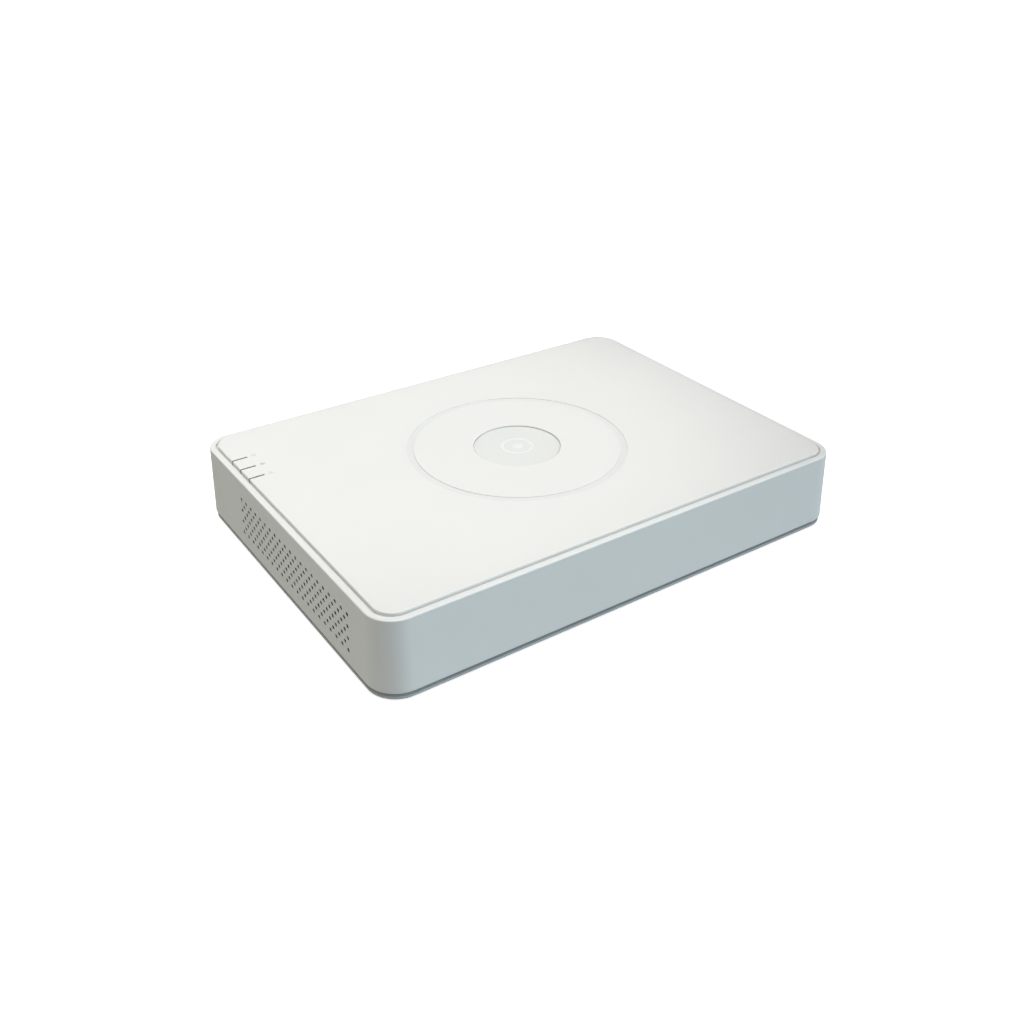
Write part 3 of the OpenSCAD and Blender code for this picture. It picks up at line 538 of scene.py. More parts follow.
def cube(bm: Mesh, lowest: Sequence[float], highest: Sequence[float], bevel: float = 0.0) -> None:
    """Adds a box with rounded edges.

    Args:
        bm: The mesh that takes it.
        lowest: Its lowest corner in the case's own frame.
        highest: Its highest corner in the case's own frame.
        bevel: The edge radius.
    """
    low_corner, high_corner = Vector(lowest), Vector(highest)
    place = at(*(low_corner + high_corner) / 2) @ Matrix.Diagonal((*(high_corner - low_corner), 1.0))
    made = bmesh.ops.create_cube(bm, size=1.0, matrix=place)["verts"]
    if bevel:
        round_edges(bm, {e for v in made for e in v.link_edges}, bevel)


def block(bm: Mesh, x: float, y: float, z: float, size: Sequence[float], bevel: float = 0.0) -> None:
    """Adds a box given by its middle in X, its start in Y, its foot in Z and its size."""
    cube(bm, (x - size[0] / 2, y, z), (x + size[0] / 2, y + size[1], z + size[2]), bevel)


def lathe(bm: Mesh, profile: Sequence[Point], place: Matrix, steps: int = 48) -> None:
    """Turns a closed profile of (radius, height) points about the local Z axis.

    Args:
        bm: The mesh that takes it.
        profile: The outline; where both ends have radius 0 it is closed at the axis.
        place: Where the axis goes.
        steps: How many pieces make the full turn.
    """
    before, on_axis = set(bm.verts), 1e-6
    verts = [bm.verts.new(place @ Vector((r, 0.0, h))) for r, h in profile]
    pairs = list(zip(verts, verts[1:]))
    if profile[0][0] > on_axis or profile[-1][0] > on_axis:
        pairs.append((verts[-1], verts[0]))
    edges = [bm.edges.new(pair) for pair in pairs]
    axis = (place.to_3x3() @ Vector((0, 0, 1))).normalized()
    bmesh.ops.spin(bm, geom=verts + edges, cent=place.translation, axis=axis, angle=math.tau, steps=steps,
                   use_merge=True, use_duplicate=False)
    bmesh.ops.remove_doubles(bm, verts=[v for v in bm.verts if v not in before], dist=1e-4)


def cylinder(bm: Mesh, place: Matrix, radius: float, height: float, edge: float = 0.0,
             steps: int = 32) -> None:
    """Adds an upright cylinder whose two ends have rounded edges.

    Args:
        bm: The mesh that takes it.
        place: Where its foot goes.
        radius: Its radius.
        height: Its height.
        edge: The radius of its ends' edges.
        steps: How many sides it has.
    """
    ends = [(radius, 0.0), (radius, height)]
    if edge:
        ends = fillet((radius - edge, edge), edge, -90, 0, 3)
        ends += fillet((radius - edge, height - edge), edge, 0, 90, 3)
    lathe(bm, [(0.0, 0.0), *ends, (0.0, height)], place, steps)


def tube(bm: Mesh, place: Matrix, outer: float, inner: float, height: float, edge: float = 0.15,
         steps: int = 48) -> None:
    """Adds an upright tube with rounded rims.

    Args:
        bm: The mesh that takes it.
        place: Where its foot goes.
        outer: Its outer radius.
        inner: Its inner radius.
        height: Its height.
        edge: The radius of its rims' edges.
        steps: How many sides it has.
    """
    rims = fillet((outer - edge, height - edge), edge, 0, 90, 3)
    rims += fillet((inner + edge, height - edge), edge, 90, 180, 3)
    lathe(bm, [(inner, 0.0), (outer, 0.0), *rims], place, steps)


def prism(bm: Mesh, outline: Sequence[Point], place: Matrix, depth: float, bevel: float = 0.0) -> None:
    """Extrudes a flat outline along the local Z axis.

    Args:
        bm: The mesh that takes it.
        outline: The outline's points in the local XY plane.
        place: Where the outline's plane goes.
        depth: How far it is extruded.
        bevel: The radius of the edges round both ends.
    """
    face = bm.faces.new([bm.verts.new(place @ Vector((x, y, 0.0))) for x, y in outline])
    drawn = bmesh.ops.extrude_face_region(bm, geom=[face])["geom"]
    moved = [g for g in drawn if isinstance(g, bmesh.types.BMVert)]
    bmesh.ops.translate(bm, verts=moved, vec=place.to_3x3() @ Vector((0, 0, depth)))
    if bevel:
        ends = [face] + [g for g in drawn if isinstance(g, bmesh.types.BMFace)]
        round_edges(bm, {e for f in ends for e in f.edges}, bevel)


def loft(bm: Mesh, rings: Sequence[tuple[Sequence[Point], float]], place: Matrix,
         hollow: bool = False) -> None:
    """Joins outlines at different heights into one skin.

    Args:
        bm: The mesh that takes it.
        rings: Outlines with equal numbers of points, each with its height.
        place: Where the local frame goes.
        hollow: Whether the last ring joins the first, in place of a cap at both ends.
    """
    loops = []
    for outline, height in rings:
        verts = [bm.verts.new(place @ Vector((x, y, height))) for x, y in outline]
        loops.append([bm.edges.new(pair) for pair in zip(verts, verts[1:] + verts[:1])])
    for first, second in zip(loops, loops[1:] + (loops[:1] if hollow else [])):
        bmesh.ops.bridge_loops(bm, edges=first + second)
    if not hollow:
        for ends in (loops[0], loops[-1]):
            bmesh.ops.edgeloop_fill(bm, edges=ends)


def many(add: Callable[..., None], *rows: Sequence, **same: object) -> Shape:
    """Describes a shape of one kind of solid, added once for each row of arguments.

    Args:
        add: cube, block, lathe, cylinder, tube, prism or loft.
        rows: Each solid's own arguments after the mesh.
        same: Arguments that all of them share.

    Returns:
        A function that fills a mesh.
    """
    def fill(bm: Mesh) -> None:
        """Adds every solid."""
        for row in rows:
            add(bm, *row, **same)

    return fill


def filled(*shapes: Shape) -> Mesh:
    """Fills a new mesh with shapes.

    Args:
        shapes: Functions that fill a mesh.

    Returns:
        The mesh, in millimetres.
    """
    bm = bmesh.new()
    for shape in shapes:
        shape(bm)
    return bm


def to_object(bm: Mesh, name: str, finish: Finish | None = None, turned_right: bool = False) -> Piece:
    """Turns a mesh in millimetres into an object in metres at the origin.

    Args:
        bm: The mesh, which is freed.
        name: The piece's name.
        finish: Its finish, or None for a tool that only cuts.
        turned_right: Whether its faces already point outwards.

    Returns:
        The new object.
    """
    if not turned_right:
        bmesh.ops.recalc_face_normals(bm, faces=bm.faces[:])
    bmesh.ops.scale(bm, vec=(MM, MM, MM), verts=bm.verts[:])
    mesh = bpy.data.meshes.new(name)
    bm.to_mesh(mesh)
    bm.free()
    made = bpy.data.objects.new(name, mesh)
    bpy.context.scene.collection.objects.link(made)
    if finish:
        mesh.materials.append(finish.material())
    return made


def cut(piece: Piece, *tools: Sequence[Shape], operation: str = "DIFFERENCE") -> None:
    """Cuts tools out of a piece for good, or joins them to it.

    Args:
        piece: The piece that changes.
        tools: The shapes that each tool is made of.
        operation: DIFFERENCE or UNION.
    """
    for shapes in tools:
        each = to_object(filled(*shapes), "tool")
        step = piece.modifiers.new("cut", "BOOLEAN")
        step.operation, step.solver, step.object = operation, "EXACT", each
        seen = piece.evaluated_get(bpy.context.evaluated_depsgraph_get())
        mesh = bpy.data.meshes.new_from_object(seen)
        bm = bmesh.new()
        bm.from_mesh(mesh)
        bmesh.ops.remove_doubles(bm, verts=bm.verts[:], dist=0.002 * MM)
        bm.to_mesh(mesh)
        bm.free()
        piece.modifiers.clear()
        piece.data = mesh
        bpy.data.objects.remove(each)


def settle(piece: Piece, body: str, slot: str, *nodes: str, angle: float = 32.0) -> None:
    """Shades a piece, rides it on its body and hides the CAD nodes that it replaces.

    Args:
        piece: The piece.
        body: The CAD body that it moves with.
        slot: The record's material slot; not used.
        nodes: CAD nodes that it stands for.
        angle: The sharpest angle that still shades smooth, in degrees.
    """
    piece.data.shade_smooth()
    piece.data.set_sharp_from_angle(angle=math.radians(angle))
    piece.modifiers.new("even_shading", "WEIGHTED_NORMAL").keep_sharp = True
    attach(piece, body)
    if nodes:
        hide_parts(*nodes)
    log.info("%s: %d faces on %s", piece.name, len(piece.data.polygons), body)


def make(name: str, finish: Finish, body: str, slot: str, nodes: Sequence[str], *shapes: Shape) -> None:
    """Makes and settles a piece from functions that fill its mesh."""
    settle(to_object(filled(*shapes), name, finish), body, slot, *nodes)


def refined(node: str, finish: Finish, body: str, slot: str, bevel: float = 0.0) -> None:
    """Makes a piece from a merged copy of a CAD node, with its sharp edges rounded.

    Args:
        node: The CAD node that it copies and replaces.
        finish: Its finish.
        body: The CAD body that it moves with.
        slot: The record's material slot; not used.
        bevel: The radius given to edges sharper than 50 degrees.
    """
    bm = bmesh.new()
    bm.from_mesh(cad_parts[node].data)
    bmesh.ops.scale(bm, vec=(1 / MM, 1 / MM, 1 / MM), verts=bm.verts[:])
    bmesh.ops.remove_doubles(bm, verts=bm.verts[:], dist=2e-3)
    bmesh.ops.dissolve_limit(bm, angle_limit=math.radians(0.5), verts=bm.verts[:], edges=bm.edges[:])
    if bevel:
        sharp = math.radians(50)
        round_edges(bm, [e for e in bm.edges if e.is_manifold and e.calc_face_angle(0.0) > sharp], bevel)
    settle(to_object(bm, node + "_finished", finish, turned_right=True), body, slot, node)


# ---------- casing ----------


@dataclass
class CaseOutline:
    """The rounded rectangle that every casing profile is swept along."""

    rim_radius: float = 14.4
    flare: float = 1.8
    corner_steps: int = 20
    arc_x: float = field(init=False)
    arc_y: float = field(init=False)
    foot: float = field(init=False)
    top: float = field(init=False)

    def __post_init__(self) -> None:
        """Reads the corner centres from the frame."""
        lowest, highest = low("upper_case"), high("upper_case")
        self.arc_x = (highest.x - lowest.x) / 2 - self.flare - self.rim_radius
        self.arc_y = (highest.y - lowest.y) / 2 - self.flare - self.rim_radius
        self.foot, self.top = lowest.z, highest.z

    def wall_radius(self, z: float) -> float:
        """How far the wall's outer face is from the corner centre at height z."""
        return self.rim_radius + self.flare * (self.top - z) / (self.top - self.foot)

    def sweep(self, bm: Mesh, profile: Sequence[Point]) -> None:
        """Sweeps an open profile round the outline.

        Args:
            bm: The mesh that takes it.
            profile: Points (distance from the corner centre, height).
        """
        start = at(self.arc_x, self.arc_y, 0.0)
        verts = [bm.verts.new(start @ Vector((r, 0.0, z))) for r, z in profile]
        geometry: list = [bm.edges.new(pair) for pair in zip(verts, verts[1:])]
        corners = ((1, 1), (-1, 1), (-1, -1), (1, -1))
        runs = ((-2 * self.arc_x, 0), (0, -2 * self.arc_y), (2 * self.arc_x, 0), (0, 2 * self.arc_y))
        for (sx, sy), run in zip(corners, runs):
            centre = at(sx * self.arc_x, sy * self.arc_y, 0.0).translation
            turned = bmesh.ops.spin(bm, geom=geometry, cent=centre, axis=(0, 0, 1), angle=math.pi / 2,
                                    steps=self.corner_steps, use_merge=False, use_duplicate=False)
            edges = [g for g in turned["geom_last"] if isinstance(g, bmesh.types.BMEdge)]
            drawn = bmesh.ops.extrude_edge_only(bm, edges=edges)["geom"]
            moved = [g for g in drawn if isinstance(g, bmesh.types.BMVert)]
            bmesh.ops.translate(bm, verts=moved, vec=(*run, 0.0))
            geometry = [g for g in drawn if isinstance(g, bmesh.types.BMEdge)]
        bmesh.ops.remove_doubles(bm, verts=bm.verts[:], dist=1e-3)

    def moulding(self, name: str, finish: Finish, profile: Sequence[Point]) -> Piece:
        """Makes a closed piece of a swept profile, with its flat openings filled.

        Args:
            name: The piece's name.
            finish: Its finish.
            profile: Points (distance from the corner centre, height).

        Returns:
            The piece.
        """
        bm = bmesh.new()
        self.sweep(bm, profile)
        bmesh.ops.edgeloop_fill(bm, edges=[e for e in bm.edges if e.is_boundary])
        return to_object(bm, name, finish)


@dataclass
class Cover:
    """The lift-off cover: upper case, top panel, badge and light guide."""

    outline: CaseOutline
    wall: float = 2.2
    rim_edge: float = 0.7
    channel: float = 1.2
    panel_edge: float = 0.45
    groove_radius: float = 58.45
    groove_width: float = 3.9
    groove_depth: float = 0.5
    badge_radius: float = 24.0
    badge_depth: float = 1.4
    stem_radius: float = 5.6
    vent_rows: int = 7
    vent_columns: int = 21
    vent_pitch: Point = (6.06, 3.28)
    vent_start: Point = (48.9, 33.1)
    vent_radius: float = 1.125
    vent_skin: float = 0.35
    vent_relief: float = 0.75
    slit_width: float = 1.3
    slit_length: float = 8.5
    guide_sink: float = 0.25
    boss_radius: float = 3.8
    boss_foot: float = 9.8

    def __post_init__(self) -> None:
        """Reads heights and the panel's edge from the frame."""
        self.rim = self.outline.top
        self.panel_low, self.panel_high = low("top_panel").z, high("top_panel").z - 0.01
        self.panel_radius = high("top_panel").x - self.outline.arc_x
        self.ceiling = self.panel_low - 2.0
        self.left = -self.outline.arc_x - self.panel_radius

    def build(self) -> None:
        """Builds every piece of the cover."""
        self.upper_case()
        self.top_panel()
        self.badge()
        # The guide's dark colour is smoked resin and painted shade for the slits.
        make("light_guide_smoke_and_shade", GUIDE_SMOKE_AND_SHADE, "cover", "guide_plastic", ["light_guide"], self.guide)
        # The black pad behind the vents is painted shade for the holes.
        make("vent_shade_pad", VENT_SHADE_BLACK, "cover", "foot_rubber", [], self.vent_shade_plugs)
        # The darker ring in the groove is painted shade.
        make("panel_groove_shade", GROOVE_SHADE_WHITE, "cover", "white_plastic", [], self.groove_shade_inlay)
        make("panel_pictograms", PRINT_GREY, "cover", "white_plastic", [], self.pictograms)

    def wall_profile(self) -> list[Point]:
        """The wall, rim and deck edge as one open profile.

        Returns:
            Its points, from the deck's top to its underside.
        """
        outline, edge, small, inward = self.outline, self.rim_edge, 0.25, self.panel_radius - 3.5
        lip, widest = self.panel_radius + self.channel, outline.wall_radius(outline.foot)
        points = [(inward, self.panel_low), (lip - small, self.panel_low)]
        points += fillet((lip - small, self.panel_low + small), small, -90, 0, 3)[1:]
        points += fillet((lip + small, self.rim - small), small, 180, 90, 3)
        points += fillet((outline.rim_radius - edge, self.rim - edge), edge, 90, 0, 6)
        points += fillet((widest - small, outline.foot + small), small, 0, -90, 3)
        points += [(widest - self.wall, outline.foot),
                   (outline.wall_radius(self.ceiling) - self.wall, self.ceiling)]
        return points + [(inward, self.ceiling)]

    def upper_case(self) -> None:
        """Walls, rim and deck, with ribs, bosses, webs, vents, the connector notch and the light slits."""
        under, foot, outline = self.ceiling, self.boss_foot, self.outline
        piece = outline.moulding("case_upper", WHITE, self.wall_profile())
        long_ribs = many(block, *[(x, -88, under - 2, (1.6, 176, 2.5)) for x in (-60, 0, 60)])
        cross_ribs = many(block, *[(0, y - 0.8, under - 2, (250, 1.6, 2.4)) for y in (-60, 0, 60)])
        bosses = many(cylinder, *[(at(x, y, foot), self.boss_radius, under + 0.6 - foot)
                                  for x, y, *_ in BOSSES])
        webs = many(block, *[(x + sx * 6.9, y - 0.75, foot + 3, (7.8, 1.5, under - foot - 2.3))
                             for x, y, sx, _ in BOSSES])
        cut(piece, [long_ribs], [cross_ribs], [bosses], [webs], operation="UNION")
        back = outline.arc_y
        notch = many(cube, ((-119, back - 5, outline.foot - 1), (119, back + 25, 34.6)))
        pilots = many(cylinder, *[(at(x, y, foot - 1), 1.25, 16) for x, y, *_ in BOSSES], steps=24)
        stem_hole = many(cylinder, (at(0, 0, under - 3), 12, 6))
        cut(piece, [self.vent_drills], [notch], [self.slits], [pilots, stem_hole])
        settle(piece, "cover", "white_plastic", "upper_case")

    def vents(self) -> Iterator[Matrix]:
        """Places the vent holes.

        Yields:
            Each hole's place on the wall's outer face, looking inward.
        """
        for row in range(self.vent_rows):
            z = self.vent_start[1] - row * self.vent_pitch[1]
            for i in range(self.vent_columns - row % 2):
                y = self.vent_start[0] - (i + (row % 2) / 2) * self.vent_pitch[0]
                yield at(-self.outline.arc_x - self.outline.wall_radius(z), y, z) @ TO_LEFT

    def vent_drills(self, bm: Mesh) -> None:
        """One stepped drill for each vent hole: the skin is thin there, and relieved from behind.

        Args:
            bm: The mesh that takes them.
        """
        radius, skin, wide, deep = self.vent_radius, self.vent_skin, self.vent_radius + self.vent_relief, 4.0
        for place in self.vents():
            lathe(bm, [(0, -1.0), (radius + 1.0, -1.0), (radius, 0.06), (radius, skin), (wide, skin + 0.05),
                       (wide, deep), (0, deep)], place, 14)

    def vent_shade_plugs(self, bm: Mesh) -> None:
        """A near-black pad behind the vents with a plug in every relief: painted shade that makes the vent
        holes read dark.

        Args:
            bm: The mesh that takes it.
        """
        plug = self.vent_radius + self.vent_relief - 0.03
        for place in self.vents():
            cylinder(bm, onward(place, self.vent_skin + 0.25), plug, 2.0, steps=12)
        first, last = self.vent_start[1], self.vent_start[1] - (self.vent_rows - 1) * self.vent_pitch[1]
        outer = [(-self.outline.wall_radius(z) + self.wall + 0.02, z) for z in (first + 3, last - 3)]
        place = at(-self.outline.arc_x, self.vent_start[0] + 4, 0) @ FORWARDS
        prism(bm, outer + [(x + 0.9, z) for x, z in reversed(outer)], place,
              (self.vent_columns - 1) * self.vent_pitch[0] + 8, 0.2)

    def slits(self, bm: Mesh) -> None:
        """The three light slits, cut through the panel and the deck.

        Args:
            bm: The mesh that takes them.
        """
        half, end = self.slit_width / 2, self.left + self.slit_length
        for y in LIGHT_ROWS:
            cube(bm, (self.left - 0.05, y - half, self.ceiling - 2), (end, y + half, 50))

    def top_panel(self) -> None:
        """The raised panel: a turned middle with the groove, and a swept outer edge."""
        top, edge, soft = self.panel_high, self.panel_edge, 0.15
        bm = bmesh.new()
        self.outline.sweep(bm, [(self.panel_radius - 4, self.panel_low), (self.panel_radius, self.panel_low),
                                *fillet((self.panel_radius - edge, top - edge), edge, 0, 90, 5),
                                (self.panel_radius - 4, top)])
        floor = top - self.badge_depth
        inner = [(0.0, floor), (self.badge_radius, floor),
                 *fillet((self.badge_radius + soft, top - soft), soft, 180, 90, 3),
                 *self.groove(), (self.groove_radius + 8, top)]
        axis = at(0, 0, 0)
        disc = [bm.verts.new(axis @ Vector((r, 0, z))) for r, z in inner]
        edges = [bm.edges.new(pair) for pair in zip(disc, disc[1:])]
        bmesh.ops.spin(bm, geom=disc + edges, cent=axis.translation, axis=(0, 0, 1), angle=math.tau,
                       steps=160, use_merge=True, use_duplicate=False)
        bmesh.ops.remove_doubles(bm, verts=bm.verts[:], dist=1e-3)
        rims = [e for e in bm.edges if e.is_boundary]
        upper = [e for e in rims if e.verts[0].co.z > top - 0.01]
        bmesh.ops.bridge_loops(bm, edges=upper)
        bmesh.ops.edgeloop_fill(bm, edges=[e for e in rims if e not in upper])
        piece = to_object(bm, "case_top_panel", PANEL_WHITE)
        stem_hole = many(cylinder, (at(0, 0, self.panel_low - 1), self.stem_radius + 0.4, 5))
        cut(piece, [self.slits, stem_hole])
        settle(piece, "cover", "white_plastic", "top_panel", angle=40)

    def groove(self) -> list[Point]:
        """The round groove's section.

        Returns:
            Crisp upright walls and a flat floor.
        """
        top, half = self.panel_high, self.groove_width / 2
        inner, outer, floor = self.groove_radius - half, self.groove_radius + half, top - self.groove_depth
        return [(inner - 0.04, top), (inner, top - 0.04), (inner + 0.02, floor), (outer - 0.02, floor),
                (outer, top - 0.04), (outer + 0.04, top)]

    def groove_shade_inlay(self, bm: Mesh) -> None:
        """A ring a little darker than the panel, on the groove's floor: painted shade for the groove."""
        half, place = self.groove_width / 2 - 0.06, at(0, 0, self.panel_high - self.groove_depth)
        tube(bm, place, self.groove_radius + half, self.groove_radius - half, 0.08, 0.03, 160)

    def badge(self) -> None:
        """The round badge: a shallow glossy dome on a stem, and a plain ring and dot a hair above it."""
        radius, floor = self.badge_radius - 0.5, self.panel_high - self.badge_depth
        stem, rise, edge, thin = self.ceiling - floor + 1.0, 0.2, 0.7, 0.13
        dome = [(radius * math.sin(math.radians(a)), edge + rise * math.cos(math.radians(a)))
                for a in range(84, -1, -6)]
        section = [(0.0, stem), (self.stem_radius, stem), (self.stem_radius, 0.02), (radius, 0.02),
                   (radius, edge - 0.1), *dome]
        ring = many(tube, (at(0, 0, floor + 0.773), 9.0, 7.4, thin, 0.04, 96))
        dot = many(cylinder, (at(0, 0, floor + 0.785), 3.2, thin, 0.04, 64))
        make("badge_disc_gloss", BADGE, "cover", "badge_plastic", ["badge_disc"],
             many(lathe, (section, at(0, 0, floor), 128)))
        make("badge_mark", MARK, "cover", "badge_plastic", [], ring, dot)

    def guide(self, bm: Mesh) -> None:
        """The guide, near-black as smoked resin and as painted shade for the slits: three ribs that sit low
        in the slits, a bridge and three legs.

        Args:
            bm: The mesh that takes it.
        """
        half, end = self.slit_width / 2 - 0.04, self.left + self.slit_length
        for y in LIGHT_ROWS:
            cube(bm, (self.left + 0.05, y - half, self.ceiling - 0.6),
                 (end - 0.05, y + half, self.panel_high - self.guide_sink), 0.08)
            cylinder(bm, at(LIGHT_X, y, BOARD_TOP + 2.8), 1.6, self.ceiling - BOARD_TOP - 4.0, 0.3)
        cube(bm, (self.left + 0.4, LIGHT_ROWS[0] - 3, self.ceiling - 1.3),
             (end, LIGHT_ROWS[-1] + 3, self.ceiling - 0.05), 0.2)

    def pictograms(self, bm: Mesh) -> None:
        """Plain printed marks beside the slits: a bar for power, a disc for storage, a fork for network.

        Args:
            bm: The mesh that takes them.
        """
        height, top, x = 0.012, self.panel_high - 0.006, self.left + self.slit_length + 3.6
        network, storage, power = LIGHT_ROWS
        tube(bm, at(x, power, top), 1.15, 0.85, height, 0.003, 24)
        cylinder(bm, at(x, storage, top), 1.2, height, steps=24)
        for dx, y, width, depth in ((0, power + 0.1, 0.3, 1.5), (1.6, storage - 1, 0.3, 2),
                                    *((step, network - 1.1, 0.55, 0.55) for step in (-1.1, 0, 1.1)),
                                    (0, network - 0.15, 2.5, 0.25), (0, network + 0.5, 0.8, 0.6)):
            block(bm, x + dx, y, top, (width, depth, height))


@dataclass
class Base:
    """The tray under the cover: floor, lip, posts and feet."""

    outline: CaseOutline
    lip_outer: float = 13.6
    lip_inner: float = 11.6
    floor: float = 3.8
    band_top: float = 3.3
    lip_top: float = 8.8
    foot_inset: float = 14.0
    foot_radius: float = 8.0

    def __post_init__(self) -> None:
        """Reads the band's reach and the board's underside from the frame, and places the feet."""
        self.bottom = low("base_tray").z
        self.reach = high("base_tray").x - self.outline.arc_x
        self.board_low = low("main_board").z
        self.feet = [at(x - sx * self.foot_inset, y - sy * self.foot_inset, 0) for x, y, sx, sy in BOSSES]

    def profile(self) -> list[Point]:
        """The floor, lip and band as one open profile.

        Returns:
            Its points, from the floor's top to its underside.
        """
        inward, under, outer, top = self.lip_inner - 4, 0.45, self.lip_outer, self.lip_top
        return [(inward, self.floor), (self.lip_inner, self.floor),
                *fillet((self.lip_inner + 0.3, top - 0.3), 0.3, 180, 90, 3),
                *fillet((outer - 0.3, top - 0.3), 0.3, 90, 0, 3), (outer, self.band_top),
                *fillet((self.reach - 0.2, self.band_top - 0.2), 0.2, 90, 0, 3),
                *fillet((self.reach - under, self.bottom + under), under, 0, -90, 4), (inward, self.bottom)]

    def build(self) -> None:
        """Builds the tray and its feet."""
        floor, bottom, radius = self.floor, self.bottom, self.foot_radius
        piece = self.outline.moulding("case_base_tray", BASE_GREY, self.profile())
        cut(piece, [many(cube, ((-122, 95.03, floor + 0.01), (122, 115, 24)))])
        standoffs = many(cylinder, *[(at(x, y, floor - 0.2), 3, self.board_low - floor + 0.2)
                                     for x, y in STANDOFFS])
        disk_posts = many(cylinder, *[(at(x, y, floor - 0.2), 4.5, 3.2) for x, y in DISK_MOUNTS])
        cut(piece, [standoffs, disk_posts], [self.fan_cradle], operation="UNION")
        bores = many(cylinder, *[(at(x, y, z), bore, height) for places, z, bore, height in (
            (STANDOFFS, floor + 0.4, 1.15, 6), (DISK_MOUNTS, 0, 1.8, 12), (BOSSES, 0, 1.7, 12),
            (PANEL_SCREWS, floor - 1.7, 1.15, 4)) for x, y, *_ in places], steps=24)
        head_sinks = many(cylinder, *[(at(x, y, 0), 3.4, bottom + depth) for places, depth in (
            (DISK_MOUNTS, 2.6), (BOSSES, 1.2)) for x, y, *_ in places])
        foot_seats = many(cylinder, *[(place, radius + 0.2, bottom + 0.6) for place in self.feet], steps=48)
        slot = rounded_outline(2.8, 22.8, 1.39, 5)
        air_slots = many(prism, *[(slot, at(DISK_X + 24 + i * 12, DISK_Y + y, 0), 8)
                                  for i in range(8) for y in (32, 66)])
        cut(piece, [bores], [head_sinks, foot_seats], [air_slots])
        settle(piece, "base", "base_plastic", "base_tray")
        pad = [(0, 0.25), (radius - 3.6, 0.25), (radius - 3.2, 0.0), (radius - 0.5, 0.0),
               (radius - 0.12, 0.14), (radius, 0.5), (radius, 2.38), (0, 2.38)]
        make("foot_pads", RUBBER, "base", "foot_rubber", ["rubber_feet"],
             many(lathe, *[(pad, place, 48) for place in self.feet]))

    def fan_cradle(self, bm: Mesh) -> None:
        """Rails and two rests that hold the fan.

        Args:
            bm: The mesh that takes it.
        """
        start, end, foot = low("fan_frame"), high("fan_frame"), self.floor - 0.2
        middle_y = (start.y + end.y) / 2 - CASE_Y
        for side in SIDES:
            rail, rest = middle_y + side * 16.5, middle_y + side * 7
            cube(bm, (start.x - 0.2, rail - 1.2, foot), (end.x + 2.2, rail + 1.2, self.floor + 18))
            cube(bm, (start.x + 1, rest - 1, foot), (end.x - 1, rest + 1, start.z))


@dataclass
class Screws:
    """Every screw, as copies of one turned and recessed shape."""

    thread_pitch: float = 0.35

    def pattern(self, radius: float, length: float, head: float, height: float) -> bpy.types.Mesh:
        """A pan-head screw with its shank along -Z and a cross recess.

        Args:
            radius: The shank's radius.
            length: The shank's length.
            head: The head's radius.
            height: The head's height.

        Returns:
            The screw's mesh, in metres.
        """
        threads = [(radius * (0.9 if i % 2 else 1.0), -length + 0.6 + i * self.thread_pitch)
                   for i in range(int((length - 1.0) / self.thread_pitch))]
        section = [(0, -length), (radius * 0.5, -length), *threads, (radius, 0), (head, 0),
                   (head, height * 0.35), (head * 0.86, height * 0.78), (head * 0.5, height * 0.97),
                   (0, height)]
        arm, half, cross = head * 0.58, head * 0.12, []
        for c, s in ((1, 0), (0, 1), (-1, 0), (0, -1)):
            cross += [(c * arm + s * half, s * arm - c * half), (c * arm - s * half, s * arm + c * half),
                      (c * half - s * half, s * half + c * half)]
        piece = to_object(filled(many(lathe, (section, at(0, -CASE_Y, 0), 28))), "screw_pattern")
        cut(piece, [many(prism, (cross, at(0, -CASE_Y, height * 0.4), height))])
        mesh = piece.data
        bpy.data.objects.remove(piece)
        return mesh

    def batch(self, name: str, places: Sequence[Matrix], size: Sequence[float], node: str,
              finish: Finish = SCREW, slot: str = "screw_steel") -> None:
        """Makes one piece of equal screws.

        Args:
            name: The piece's name.
            places: Where each head's underside goes.
            size: Shank radius, length, head radius and head height.
            node: The CAD node that it stands for.
            finish: Its finish.
            slot: The record's material slot; not used.
        """
        pattern, bm = self.pattern(*size), bmesh.new()
        for place in places:
            before = set(bm.verts)
            bm.from_mesh(pattern)
            new = [v for v in bm.verts if v not in before]
            bmesh.ops.transform(bm, matrix=place @ Matrix.Scale(1 / MM, 4), verts=new)
        settle(to_object(bm, name, finish), "base", slot, node)

    def build(self) -> None:
        """Makes every batch."""
        down, bottom, lid = Matrix.Rotation(math.pi, 4, "X"), low("base_tray").z, high("disk_lid").z + 0.01
        self.batch("screws_case", [at(x, y, bottom + 1.2) @ down for x, y, *_ in BOSSES], (1.2, 15, 2.9, 1.5),
                   "case_screws")
        self.batch("screws_disk_mount", [at(x, y, bottom + 2.6) @ down for x, y in DISK_MOUNTS],
                   (1.3, 6.8, 3, 1.8), "disk_mount_screws")
        self.batch("screws_board", [at(x, y, BOARD_TOP + 0.01) for x, y in STANDOFFS], (1.1, 4.2, 2.6, 1.6),
                   "board_screws")
        self.batch("screws_panel", [at(x, y, 5.01) for x, y in PANEL_SCREWS], (1.1, 2.8, 2.2, 1.1),
                   "panel_screws")
        self.batch("screws_disk_lid", [at(x, y, lid) for x, y in LID_SCREWS], (0.8, 4.5, 1.9, 0.8),
                   "disk_lid_screws")
        self.batch("screw_ground", [at(-113, 101.04, 18) @ BACKWARDS], (1.5, 5, 3, 2), "ground_screw", BRASS,
                   "brass")


# ---------- rear panel ----------


